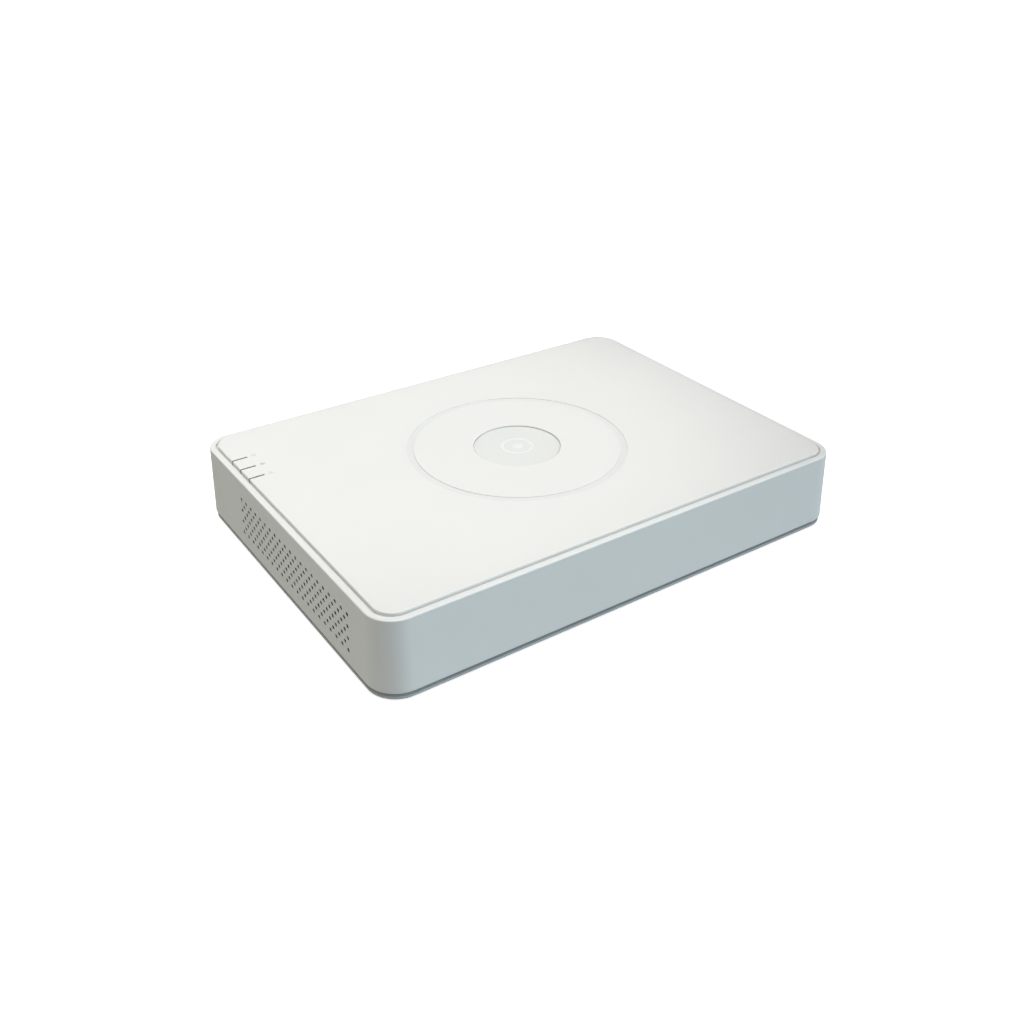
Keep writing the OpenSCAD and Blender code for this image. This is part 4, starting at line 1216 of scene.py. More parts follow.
@dataclass
class RearPanel:
    """The steel sheet at the back and the connectors that stand through it."""

    face: float = 101.0267
    sheet: float = 1.2
    seat: float = 0.15
    video_columns: tuple[float, ...] = (-97.0, -79.0, -61.0, -43.0)
    video_height: float = 9.4
    audio_columns: Point = (-24.0, -9.5)
    audio_height: float = 7.6
    monitor_x: float = 13.0
    monitor_height: float = 6.8
    jackscrew_pitch: float = 25.0
    network_x: float = 93.0
    power_x: float = 110.0
    power_height: float = 6.4
    ground_x: float = -113.0

    def __post_init__(self) -> None:
        """Finds the sheet's inner face and the plane behind it where the connectors sit."""
        self.inner = self.face - self.sheet
        self.back = self.inner - self.seat

    def outward(self, x: float, y: float, height: float) -> Matrix:
        """A place above the board whose Z axis points out of the back."""
        return at(x, y, BOARD_TOP + height) @ BACKWARDS

    def build(self) -> None:
        """Builds the sheet and every connector."""
        refined("rear_panel", SHEET, "base", "sheet_steel")
        make("panel_marks", PRINT_GREY, "base", "sheet_steel", [], self.panel_marks)
        for i, x in enumerate(self.video_columns, start=1):
            make(f"video_socket_{i}_shell", NICKEL, "base", "nickel", [f"video_socket_{i}"],
                 many(self.video_socket, (x,)))
        cores = [self.outward(x, self.inner - 8, self.video_height) for x in self.video_columns]
        contact = [(0, 0), (0.78, 0), (0.78, 15.4), (0.65, 15.6), (0.5, 15.6), (0.42, 15.4), (0.42, 10),
                   (0, 10)]
        make("video_insulator_tubes", WHITE_PLASTIC, "base", "audio_plastic", ["video_insulators"],
             many(tube, *[(place, 2.2, 0.8, 16.4, 0.2, 32) for place in cores]))
        make("video_contact_tubes", GOLD, "base", "contact_gold", ["video_contacts"],
             many(lathe, *[(contact, place, 24) for place in cores]))
        insert = [(0, 0), (3.58, 0), (3.58, 17.9), (3.4, 18.1), (1.9, 18.6), (1.65, 18.35), (1.65, 5), (0, 5)]
        audio = zip(("audio_in", "audio_out"), self.audio_columns, (RED_PLASTIC, WHITE_PLASTIC))
        for name, x, finish in audio:
            make(f"{name}_shell", NICKEL, "base", "nickel", [f"{name}_socket"], many(self.audio_shell, (x,)))
            make(f"{name}_insulator", finish, "base", "audio_plastic", ["audio_insulators"],
                 many(lathe, (insert, self.outward(x, self.back - 10, self.audio_height), 48)))
        make("monitor_port_shell", NICKEL, "base", "nickel", ["monitor_shell"], self.monitor_shell)
        refined("monitor_insert", BLUE, "base", "monitor_blue")
        make("monitor_port_jackscrews", NICKEL, "base", "nickel", ["monitor_jackscrews"], self.jackscrews)
        for node, finish, slot, bevel in (
            ("display_shell", NICKEL, "nickel", 0.15), ("display_tongue", BLACK, "connector_black", 0.2),
            ("usb_shell_1", NICKEL, "nickel", 0.2), ("usb_shell_2", NICKEL, "nickel", 0.2),
            ("usb_tongues", BLACK, "connector_black", 0.2), ("network_contacts", GOLD, "contact_gold", 0.08),
        ):
            refined(node, finish, "base", slot, bevel)
        make("network_socket_shield", NICKEL, "base", "nickel", ["network_socket"], self.network_socket)
        make("power_socket_body", BLACK, "base", "connector_black", ["power_socket"], self.power_socket)
        make("power_socket_pin", NICKEL, "base", "nickel", ["power_pin"],
             many(cylinder, (self.outward(self.power_x, self.face - 9.7, self.power_height), 1.05, 8.4, 0.4)))

    def panel_marks(self, bm: Mesh) -> None:
        """Plain printed marks: dots that count the inputs, rings, a ground sign and frames over the ports.

        Args:
            bm: The mesh that takes them.
        """
        face, thin, line, z = self.face - 0.004, 0.012, 0.3, BOARD_TOP + self.video_height + 9.6

        def bar(x: float, middle_z: float, width: float, height: float) -> None:
            """A printed bar centred on its place."""
            block(bm, x, face, middle_z - height / 2, (width, thin, height))

        for i, column in enumerate(self.video_columns):
            for dot in range(i + 1):
                cylinder(bm, at(column + (dot - i / 2) * 2.2, face, z) @ BACKWARDS, 0.7, thin, steps=16)
        for count, column in enumerate(self.audio_columns, start=1):
            for k in range(count):
                tube(bm, at(column, face, z) @ BACKWARDS, 1.0 + k * 0.9, 0.7 + k * 0.9, thin, 0.003, 24)
        bar(self.ground_x, z + 0.25, line, 1.9)
        for k in range(3):
            bar(self.ground_x, z - 0.85 - k * 0.9, 3.0 - k, line)
        for x, width in ((13, 6), (41, 5), (67, 7), (93, 5), (110, 3)):
            for side in SIDES:
                bar(x, z + side * 1.2, width, line)
                bar(x + side * width / 2, z, line, 2.4)

    def video_socket(self, bm: Mesh, x: float) -> None:
        """A bayonet socket: a cast body, a collar, a barrel with a rolled rim and two lugs.

        Args:
            bm: The mesh that takes it.
            x: Its middle.
        """
        z, length = BOARD_TOP + self.video_height, high("video_socket_1").y - CASE_Y - self.back
        cube(bm, (x - 7.2, self.back - 13.5, BOARD_TOP), (x + 7.2, self.back - 0.02, z + 7.2), 0.5)
        place = at(x, self.back, z) @ BACKWARDS
        lathe(bm, [(2.25, 0.0), (5.3, 0.0), (5.5, 0.2), (5.5, 2.9), (5.2, 3.2), (4.8, 3.2), (4.8, 4.6),
                   (4.68, 4.7), (4.68, 5.1), (4.8, 5.2), (4.8, length - 0.35), (4.62, length), (4.3, length),
                   (4.05, length - 0.25), (4.05, 1.2), (2.25, 1.2)], place, 56)
        for turn in (0, math.pi):
            lug = onward(place, 7.3) @ FORWARDS @ Matrix.Rotation(turn, 4, "X")
            cylinder(bm, onward(lug, 4.7), 0.95, 0.8, 0.2, 20)

    def audio_shell(self, bm: Mesh, x: float) -> None:
        """A phono socket's shell.

        Args:
            bm: The mesh that takes it.
            x: Its middle.
        """
        z = BOARD_TOP + self.audio_height
        lathe(bm, [(3.62, 0.0), (4.3, 0.0), (4.4, 0.15), (4.4, 1.2), (4.3, 1.35), (4.15, 1.35), (4.15, 9.3),
                   (3.98, 9.6), (3.75, 9.6), (3.62, 9.45)], at(x, self.back, z) @ BACKWARDS, 56)
        cube(bm, (x - 5.2, self.back - 12, BOARD_TOP), (x + 5.2, self.back - 0.02, z - 3.7), 0.4)

    def keyed(self, width: float, height: float, slope: float) -> list[Point]:
        """A plug face outline with clipped corners.

        Args:
            width: Its width at the top.
            height: Its height.
            slope: How far each side leans in towards the foot.

        Returns:
            The outline's points.
        """
        x, y, clip = width / 2, height / 2, 1.1
        left = [(-x + clip, y), (-x, y - clip), (-x + slope, -y + clip), (-x + slope + clip, -y)]
        return left + [(-px, py) for px, py in reversed(left)]

    def monitor_shell(self, bm: Mesh) -> None:
        """The monitor port: a keyed shell round the insert, two washers and a housing on the board.

        Args:
            bm: The mesh that takes it.
        """
        x, back, z, front = self.monitor_x, self.back, BOARD_TOP + self.monitor_height, -7.25
        outer, inner = self.keyed(17, 8.4, 1.6), self.keyed(16.25, 7.65, 1.5)
        loft(bm, [(outer, 0.2), (outer, front), (inner, front), (inner, 0.2)], at(x, back, z) @ FORWARDS,
             hollow=True)
        for side in SIDES:
            tube(bm, at(x + side * self.jackscrew_pitch / 2, back, z) @ FORWARDS, 3.0, 1.8, 0.8, 0.1, 32)
        for foot, top in ((BOARD_TOP, z - 4.5), (z + 4.3, BOARD_TOP + 12.4)):
            cube(bm, (x - 9.5, back - 11, foot), (x + 9.5, back - 0.25, top), 0.3)

    def jackscrews(self, bm: Mesh) -> None:
        """Two hexagonal jackscrews with threaded bores.

        Args:
            bm: The mesh that takes them.
        """
        nut = ((2.85, 0.0), (2.85, 4.4), (2.5, 4.75), (1.3, 4.75), (1.2, 4.5), (1.2, 0.0))
        rings = [(fillet((0, 0), radius, 0, 300, 5), height) for radius, height in nut]
        for side in SIDES:
            x = self.monitor_x + side * self.jackscrew_pitch / 2
            place = self.outward(x, self.inner - 6, self.monitor_height)
            cylinder(bm, place, 1.5, 7.19, 0.1, 24)
            loft(bm, rings, onward(place, 7.2), hollow=True)

    def network_socket(self, bm: Mesh) -> None:
        """The network socket's shield, as a folded frame round the plug opening.

        Args:
            bm: The mesh that takes it.
        """
        front, top, x = self.face + 0.6, BOARD_TOP + 13.5, self.network_x
        back = front - 21
        for side in SIDES:
            block(bm, x + side * 6.96, back, BOARD_TOP, (2.08, 21, 13.5), 0.3)
            block(bm, x + side * 4.5, front - 12, BOARD_TOP + 0.1, (2.8, 11.95, 2.78), 0.15)
            block(bm, x + side * 7.1, front - 8, top, (0.91, 5, 0.02))
        block(bm, x, back, BOARD_TOP + 11.2, (11.8, 20.98, 2.28), 0.3)
        block(bm, x, back, BOARD_TOP, (11.8, 7.9, 11.18), 0.2)
        block(bm, x, front - 12, BOARD_TOP + 0.1, (6.16, 11.9, 1.3), 0.1)

    def power_socket(self, bm: Mesh) -> None:
        """The power inlet: a moulded block with a round opening.

        Args:
            bm: The mesh that takes it.
        """
        front = self.face + 0.3
        block(bm, self.power_x, front - 14, BOARD_TOP, (9, 3.9, 11.3), 0.4)
        square = [(x, y - 0.1) for x, y in rounded_outline(9.0, 9.6, 0.6, 7)]
        wide, narrow = (fillet((0, 0), radius, 5.6, 354.4, len(square) - 1) for radius in (3.4, 3.1))
        rim = [(x * 0.96, y * 0.96) for x, y in square]
        loft(bm, [(square, 0.0), (square, 9.8), (rim, 10.0), (wide, 10.0), (narrow, 9.7), (narrow, 0.0)],
             self.outward(self.power_x, front - 10, self.power_height), hollow=True)


# ---------- main board ----------


@dataclass
class MainBoard:
    """The main board and everything soldered on it."""

    chip: Point = (-78.0, 52.0)
    sink_side: float = 38.0
    fins: int = 9
    memory: tuple[Point, ...] = ((-50, 36), (-50, 54))
    video: tuple[Point, ...] = ((-88, 76.5), (-52, 76.5))
    magnetics: tuple[Point, ...] = ((93, 66),)
    regulators: tuple[Point, ...] = ((88, 42), (60, 62), (20, 28), (-8, 66), (-28, 40))
    cans: tuple[Point, ...] = ((66, 40), (76, 40), (66, 51), (102, 52), (30, 66))
    coils: tuple[Point, ...] = ((84, 30), (98, 30), (56, 30))
    cell: Point = (8.0, 44.0)
    sounder: Point = (-112.0, 42.0)
    small_rows: tuple[tuple[float, ...], ...] = (
        (-104, 30, 6, 3.2, 0), (-104, 72, 3, 3.2, 0), (-66, 70, 3, 3.2, 0), (-62, 30, 2, 3.2, 0),
        (-42, 66, 5, 3.0, 0), (-20, 30, 6, 3.0, 0), (-20, 54, 5, 3.4, 0), (24, 40, 5, 3.2, 0),
        (24, 50, 5, 3.2, 0), (38, 76, 6, 3.0, 0), (80, 50, 3, 3.0, 0), (84, 58, 5, 3.0, 0),
        (-98, 36, 5, 0, 3.4), (-56, 62, 3, 0, 2.8), (108, 26, 4, 0, 3.2), (-122, 24, 5, 0, 3.2))

    def build(self) -> None:
        """Builds the board and its parts."""
        refined("main_board", BOARD, "base", "circuit_board")
        ceramics, resistors = self.small_parts()
        for name, finish, slot, node, *shapes in (
            ("processor", CHIP, "chip_plastic", "main_chip", self.packages([self.chip], (24, 24, 1.9), 0.15)),
            ("processor_sink", SINK, "sink_metal", "heat_sink", self.sink),
            ("memory_packages", CHIP, "chip_plastic", "memory_chips",
             self.packages(self.memory, (10, 13, 1.2), 0.12)),
            ("video_packages", CHIP, "chip_plastic", "video_chips",
             self.packages(self.video, (12, 10, 1.4), 0.15)),
            ("network_magnetics", CHIP, "chip_plastic", "network_transformer",
             self.packages(self.magnetics, (15, 9.6, 5.6), 0.3)),
            ("package_leads", TIN, "nickel", "", self.leads),
            ("capacitor_cans", CAN, "capacitor_can", "capacitors", self.can_bodies),
            ("capacitor_feet", BLACK, "connector_black", "", self.can_feet),
            ("power_chokes", FERRITE, "ferrite", "inductors", self.chokes),
            ("clock_cell", CELL, "cell_steel", "coin_cell", self.cell_body),
            ("clock_cell_holder", BLACK, "connector_black", "cell_holder", self.holder),
            ("sounder", BLACK, "connector_black", "buzzer", self.sounder_body),
            ("status_lamps", RESIN, "light_resin", "status_lights", self.lamps),
            ("board_header_shells", NYLON, "header_nylon", "board_headers", self.headers),
            ("small_ceramics", CERAMIC, "chip_plastic", "", self.chips(ceramics, 0.9)),
            ("small_resistors", CHIP, "chip_plastic", "", self.chips(resistors, 0.5)),
            ("small_part_ends", TIN, "nickel", "", self.ends(ceramics, 0.95), self.ends(resistors, 0.55)),
            ("power_regulators", CHIP, "chip_plastic", "", self.packages(self.regulators, (5, 4, 1.5), 0.12)),
        ):
            make(name, finish, "base", slot, [node] if node else [], *shapes)

    def packages(self, places: Sequence[Point], size: Sequence[float], bevel: float) -> Shape:
        """Moulded packages that sit a hair above the board, each with its middle on its place."""
        return many(block, *[(x, y - size[1] / 2, BOARD_TOP + 0.1, size, bevel) for x, y in places])

    def chips(self, places: Sequence[Point], height: float) -> Shape:
        """The bodies of small two-ended parts."""
        return many(block, *[(x, y - 0.5, BOARD_TOP + 0.03, (1.2, 1.0, height)) for x, y in places])

    def ends(self, places: Sequence[Point], height: float) -> Shape:
        """The soldered ends of small two-ended parts."""
        return many(block, *[(x + side * 0.85, y - 0.55, BOARD_TOP + 0.01, (0.5, 1.1, height))
                             for x, y in places for side in SIDES])

    def small_parts(self) -> tuple[list[Point], list[Point]]:
        """Lays out the small two-ended parts.

        Returns:
            The ceramic capacitors' places and the resistors' places.
        """
        ceramics, resistors = [], []
        for row, (x, y, count, dx, dy) in enumerate(self.small_rows):
            for i in range(count):
                (ceramics if (row + i) % 3 else resistors).append((x + i * dx, y + i * dy))
        return ceramics, resistors

    def sink(self, bm: Mesh) -> None:
        """The heat sink, as one comb-shaped section drawn out along the fins.

        Args:
            bm: The mesh that takes it.
        """
        half, floor, top, gap, pitch = self.sink_side / 2, 2.2, 12.0, 2.6, 3.98
        comb = [(-half, 0.0), (half, 0.0), (half, top)]
        for i in reversed(range(self.fins)):
            left = -half + 1.6 + i * pitch
            comb += [(left + gap + 0.15, top), (left + gap, top - 0.2), (left + gap, floor), (left, floor),
                     (left, top - 0.2), (left - 0.15, top)]
        place = at(self.chip[0], self.chip[1] + half, BOARD_TOP + 2.05) @ FORWARDS
        prism(bm, [*comb, (-half, top)], place, self.sink_side)

    def leads(self, bm: Mesh) -> None:
        """Bent leads along the sides of the packages.

        Args:
            bm: The mesh that takes them.
        """
        for places, half_x, half_y, count in ((self.video, 6, 5, 12), (self.magnetics, 7.5, 4.8, 8),
                                              (self.regulators, 2.5, 2.0, 4)):
            for x, y in places:
                for i in range(count):
                    column = x - half_x + (i + 0.5) * 2 * half_x / count
                    for side in SIDES:
                        edge = y + side * half_y
                        block(bm, column, edge + side * 0.25 - 0.25, BOARD_TOP + 0.35, (0.32, 0.5, 0.25))
                        block(bm, column, edge + side * 0.75 - 0.35, BOARD_TOP + 0.02, (0.32, 0.7, 0.34))

    def can_bodies(self, bm: Mesh) -> None:
        """Capacitor cans with a rolled groove and a scored top.

        Args:
            bm: The mesh that takes them.
        """
        for x, y in self.cans:
            lathe(bm, [(0, 0.95), (3.9, 0.95), (3.9, 1.9), (3.6, 2.3), (3.9, 2.7),
                       *fillet((3.3, 9.8), 0.6, 0, 90, 3), (2.6, 10.4), (2.5, 10.25), (0, 10.25)],
                  at(x, y, BOARD_TOP), 40)

    def can_feet(self, bm: Mesh) -> None:
        """The cans' square feet.

        Args:
            bm: The mesh that takes them.
        """
        for x, y in self.cans:
            prism(bm, [(-4.3, -4.3), (3.1, -4.3), (4.3, -3.1), (4.3, 3.1), (3.1, 4.3), (-4.3, 4.3)],
                  at(x, y, BOARD_TOP + 0.02), 0.9)

    def chokes(self, bm: Mesh) -> None:
        """Pressed chokes with a shallow round seam in the top.

        Args:
            bm: The mesh that takes them.
        """
        for x, y in self.coils:
            place = at(x, y, BOARD_TOP + 0.1)
            prism(bm, rounded_outline(9, 9, 1.5, 4), place, 4.1, 0.2)
            tube(bm, onward(place, 4.1), 3.6, 3.0, 0.28, 0.1, 40)

    def cell_body(self, bm: Mesh) -> None:
        """The coin cell with its rolled edge."""
        lathe(bm, [(0, 0), (9.4, 0), (10, 0.6), (10, 2.8), (9.7, 3.1), (9.0, 3.1), (8.8, 3.2), (0, 3.2)],
              at(*self.cell, BOARD_TOP + 1.25), 64)

    def holder(self, bm: Mesh) -> None:
        """The cell's moulded cup with two spring towers.

        Args:
            bm: The mesh that takes it.
        """
        lathe(bm, [(0, 0), (12, 0), (12, 4.4), (11.8, 4.6), (10.3, 4.6), (10.1, 4.4), (10.1, 1.2), (0, 1.2)],
              at(*self.cell, BOARD_TOP), 64)
        for side in SIDES:
            block(bm, self.cell[0], self.cell[1] + side * 12.65 - 0.7, BOARD_TOP, (8, 1.4, 3.6), 0.2)

    def sounder_body(self, bm: Mesh) -> None:
        """A small sounder with a hole in its top."""
        lathe(bm, [(0, 0), (6, 0), *fillet((5.5, 8.0), 0.5, 0, 90, 3), (1.3, 8.5), (1.2, 8.4), (1.2, 5),
                   (0, 5)], at(*self.sounder, BOARD_TOP), 48)

    def lamps(self, bm: Mesh) -> None:
        """Three small status lamps with domed lenses.

        Args:
            bm: The mesh that takes them.
        """
        for y in LIGHT_ROWS:
            block(bm, LIGHT_X, y - 1, BOARD_TOP, (3.2, 2, 0.78), 0.08)
            lathe(bm, [(0, 0.8), (0.95, 0.8), *fillet((0, 0.95), 0.95, 0, 90, 5)],
                  at(LIGHT_X, y, BOARD_TOP), 24)

    def headers(self, bm: Mesh) -> None:
        """Three nylon header shells, each a floor, the taller ones with two side walls.

        Args:
            bm: The mesh that takes them.
        """
        for x, y, wide, deep, tall in ((-40.5, 24, 8, 16, 5), (-66, 24, 8, 13, 3), (-110, 21, 5.2, 8, 1.6)):
            block(bm, x, y - deep / 2, BOARD_TOP, (wide, deep, min(1.4, tall)), 0.15)
            if tall > 2:
                for side in SIDES:
                    block(bm, x + side * (wide / 2 - 0.4), y - deep / 2, BOARD_TOP + 1.41,
                          (0.8, deep, tall - 1.41), 0.15)


# ---------- disk ----------


@dataclass
class HardDisk:
    """The hard disk: casting, lid, platters, arm, magnets, its board and connector."""

    size: Point = (147.0, 101.6)
    spindle: Point = (70.2, -42.7)
    pivot: Point = (18.0, -63.0)
    platter_radius: float = 47.5
    platter_bore: float = 12.5
    platter_heights: Point = (17.0, 21.4)
    platter_thickness: float = 1.27
    disk_floor: float = 12.0

    def build(self) -> None:
        """Builds every piece of the disk."""
        refined("disk_casting", CAST, "base", "cast_aluminium")
        self.lid()
        make("platters", MIRROR, "disk_platters", "platter_coating", ["disk_platters"], self.platters)
        make("platter_hub", ARM, "disk_platters", "arm_aluminium", [], self.hub)
        refined("disk_arm", ARM, "disk_arm", "arm_aluminium")
        make("arm_coil", BRASS, "disk_arm", "brass", [], self.coil)
        refined("disk_magnets", MAGNET, "base", "magnet_plating", 0.3)
        refined("disk_board", BOARD, "base", "circuit_board")
        refined("disk_connector", BLACK, "base", "connector_black", 0.15)

    def lid(self) -> None:
        """The pressed lid: a rounded plate with a sunk border, holes and two rings round the spindle."""
        foot, top, (width, depth) = low("disk_lid").z, high("disk_lid").z, self.size
        steps = ((0, foot), (0, top - 0.2), (0.2, top), (7.0, top), (7.8, top - 0.35), (9.5, top - 0.35),
                 (10.3, top - 0.02))
        rings = [(rounded_outline(width - 2 * inset, depth - 2 * inset, 2.5, 5), height)
                 for inset, height in steps]
        plate = many(loft, (rings, at(DISK_X + width / 2, DISK_Y + depth / 2, 0)))
        piece = to_object(filled(plate), "disk_lid_pressed", LID)
        holes = many(cylinder, *[(at(x, y, foot - 1), 1.1, 5) for x, y in LID_SCREWS], steps=24)
        pivot_hole = many(cylinder, (at(*self.pivot, foot - 1), 2.6, 5))
        seams = [[(radius - 1.2, top + 1), (radius - 0.8, top - 0.25), (radius + 0.8, top - 0.25),
                  (radius + 1.2, top + 1)] for radius in (18.0, 30.0)]
        pressed = many(lathe, *[(seam, at(*self.spindle, 0), 80) for seam in seams])
        cut(piece, [holes, pivot_hole, pressed])
        settle(piece, "base", "lid_steel", "disk_lid")

    def platters(self, bm: Mesh) -> None:
        """Two polished platters with rounded edges.

        Args:
            bm: The mesh that takes them.
        """
        inner, outer, thick, edge = self.platter_bore, self.platter_radius, self.platter_thickness, 0.2
        for z in self.platter_heights:
            lathe(bm, [(inner, 0), (outer - edge, 0), (outer, edge), (outer, thick - edge),
                       (outer - edge, thick), (inner, thick)], at(*self.spindle, z), 128)

    def hub(self, bm: Mesh) -> None:
        """The spindle hub and the clamp ring on top of the platters.

        Args:
            bm: The mesh that takes it.
        """
        foot, top = self.disk_floor + 2, self.platter_heights[1] + self.platter_thickness
        lathe(bm, [(3.06, foot), (12.4, foot), (12.4, top + 0.01), (15.6, top + 0.01), (16, top + 0.3),
                   (15.4, top + 1.7), (10.5, top + 1.78), (9.8, top + 1.3), (8.2, top + 1.3),
                   (7.6, top + 1.78), (3.06, top + 1.78)], at(*self.spindle, 0), 80)

    def coil(self, bm: Mesh) -> None:
        """The flat coil held by the arm's fork.

        Args:
            bm: The mesh that takes it.
        """
        thick, middle_x, opening = 1.4, -17, 0.7
        outline = [(-12.6, -2.6), (-12.6, 2.6), (-20.0, 5.4), (-21.8, 0.0), (-20.0, -5.4)]
        bore = [(middle_x + (x - middle_x) * opening, y * opening) for x, y in outline]
        loft(bm, [(outline, 0.0), (outline, thick), (bore, thick), (bore, 0.0)],
             at(*self.pivot, 18.0) @ Matrix.Rotation(math.radians(0.45), 4, "Z"), hollow=True)


# ---------- fan ----------


@dataclass
class Fan:
    """The small fan behind the vents."""

    side: float = 30.0
    thickness: float = 10.0
    screw_square: float = 12.0
    hole_radius: float = 14.0
    hub_radius: float = 7.4
    blades: int = 7

    def __post_init__(self) -> None:
        """Reads the fan's place from the frame."""
        centre, start = middle("fan_frame"), low("fan_frame").x
        self.place = Matrix.Translation((start, centre.y, centre.z)) @ TO_LEFT

    def build(self) -> None:
        """Builds the housing with its air way, screw holes and spider, and the rotor."""
        r, thick, step = self.hole_radius, self.thickness, 0.35
        square = many(prism, (rounded_outline(self.side, self.side, 2.5), self.place, thick))
        housing = to_object(filled(square), "fan_housing", BLACK)
        air_way = [(0, -1), (r + 0.6, -1), (r + step, 0.0), (r, 0.7), (r, thick - 0.7), (r + step, thick),
                   (r + 0.6, thick + 1), (0, thick + 1)]
        holes = many(cylinder, *[(self.place @ Matrix.Translation((x, y, -1)), 1.6, thick + 2)
                                 for x in (-self.screw_square, self.screw_square)
                                 for y in (-self.screw_square, self.screw_square)], steps=24)
        cut(housing, [many(lathe, (air_way, self.place, 96)), holes])
        cut(housing, [self.spider], operation="UNION")
        settle(housing, "base", "fan_plastic", "fan_frame")
        make("fan_blades", BLACK, "fan_rotor", "fan_plastic", ["fan_rotor"], self.rotor)

    def spider(self, bm: Mesh) -> None:
        """The motor plate and four struts, as one outline.

        Args:
            bm: The mesh that takes it.
        """
        outline, reach, half = [], self.hole_radius + 0.8, 1.1
        spread = math.degrees(math.asin(half / self.hub_radius))
        for turn in (45, 135, 225, 315):
            c, s = math.cos(math.radians(turn)), math.sin(math.radians(turn))
            outline += [(reach * c + side * half * s, reach * s - side * half * c) for side in (1, -1)]
            outline += fillet((0, 0), self.hub_radius, turn + spread, turn + 90 - spread, 10)
        prism(bm, outline, self.place, 1.4)

    def rotor(self, bm: Mesh) -> None:
        """The cup-shaped hub and seven curved, twisted blades.

        Args:
            bm: The mesh that takes it.
        """
        foot, top, edge, bore = 2.0, 9.4, 0.8, 1.06
        shoulder = fillet((self.hub_radius - edge, top - edge), edge, 0, 90, 4)
        lathe(bm, [(bore, foot), (self.hub_radius, foot), *shoulder, (5.0, top), (4.8, top - 0.25),
                   (bore, top - 0.25)], self.place, 64)
        inner, outer, chord_length = self.hub_radius - 0.3, self.hole_radius - 0.75, 7.6
        for k in range(self.blades):
            grid = bmesh.ops.create_grid(bm, x_segments=6, y_segments=8, size=0.5)["verts"]
            for vert in grid:
                radius = inner + (vert.co.x + 0.5) * (outer - inner)
                pitch = math.radians(50 - 16 * (vert.co.x + 0.5))
                chord = vert.co.y * chord_length
                lift = 5.7 + chord * math.sin(pitch) - 0.5 * (vert.co.y * 2) ** 2
                turn = math.tau * k / self.blades + chord * math.cos(pitch) / radius
                lift = min(8.9, max(2.5, lift))
                vert.co = self.place @ Vector((radius * math.cos(turn), radius * math.sin(turn), lift))
            bmesh.ops.solidify(bm, geom=list({f for v in grid for f in v.link_faces}), thickness=0.5)


# ---------- cables ----------


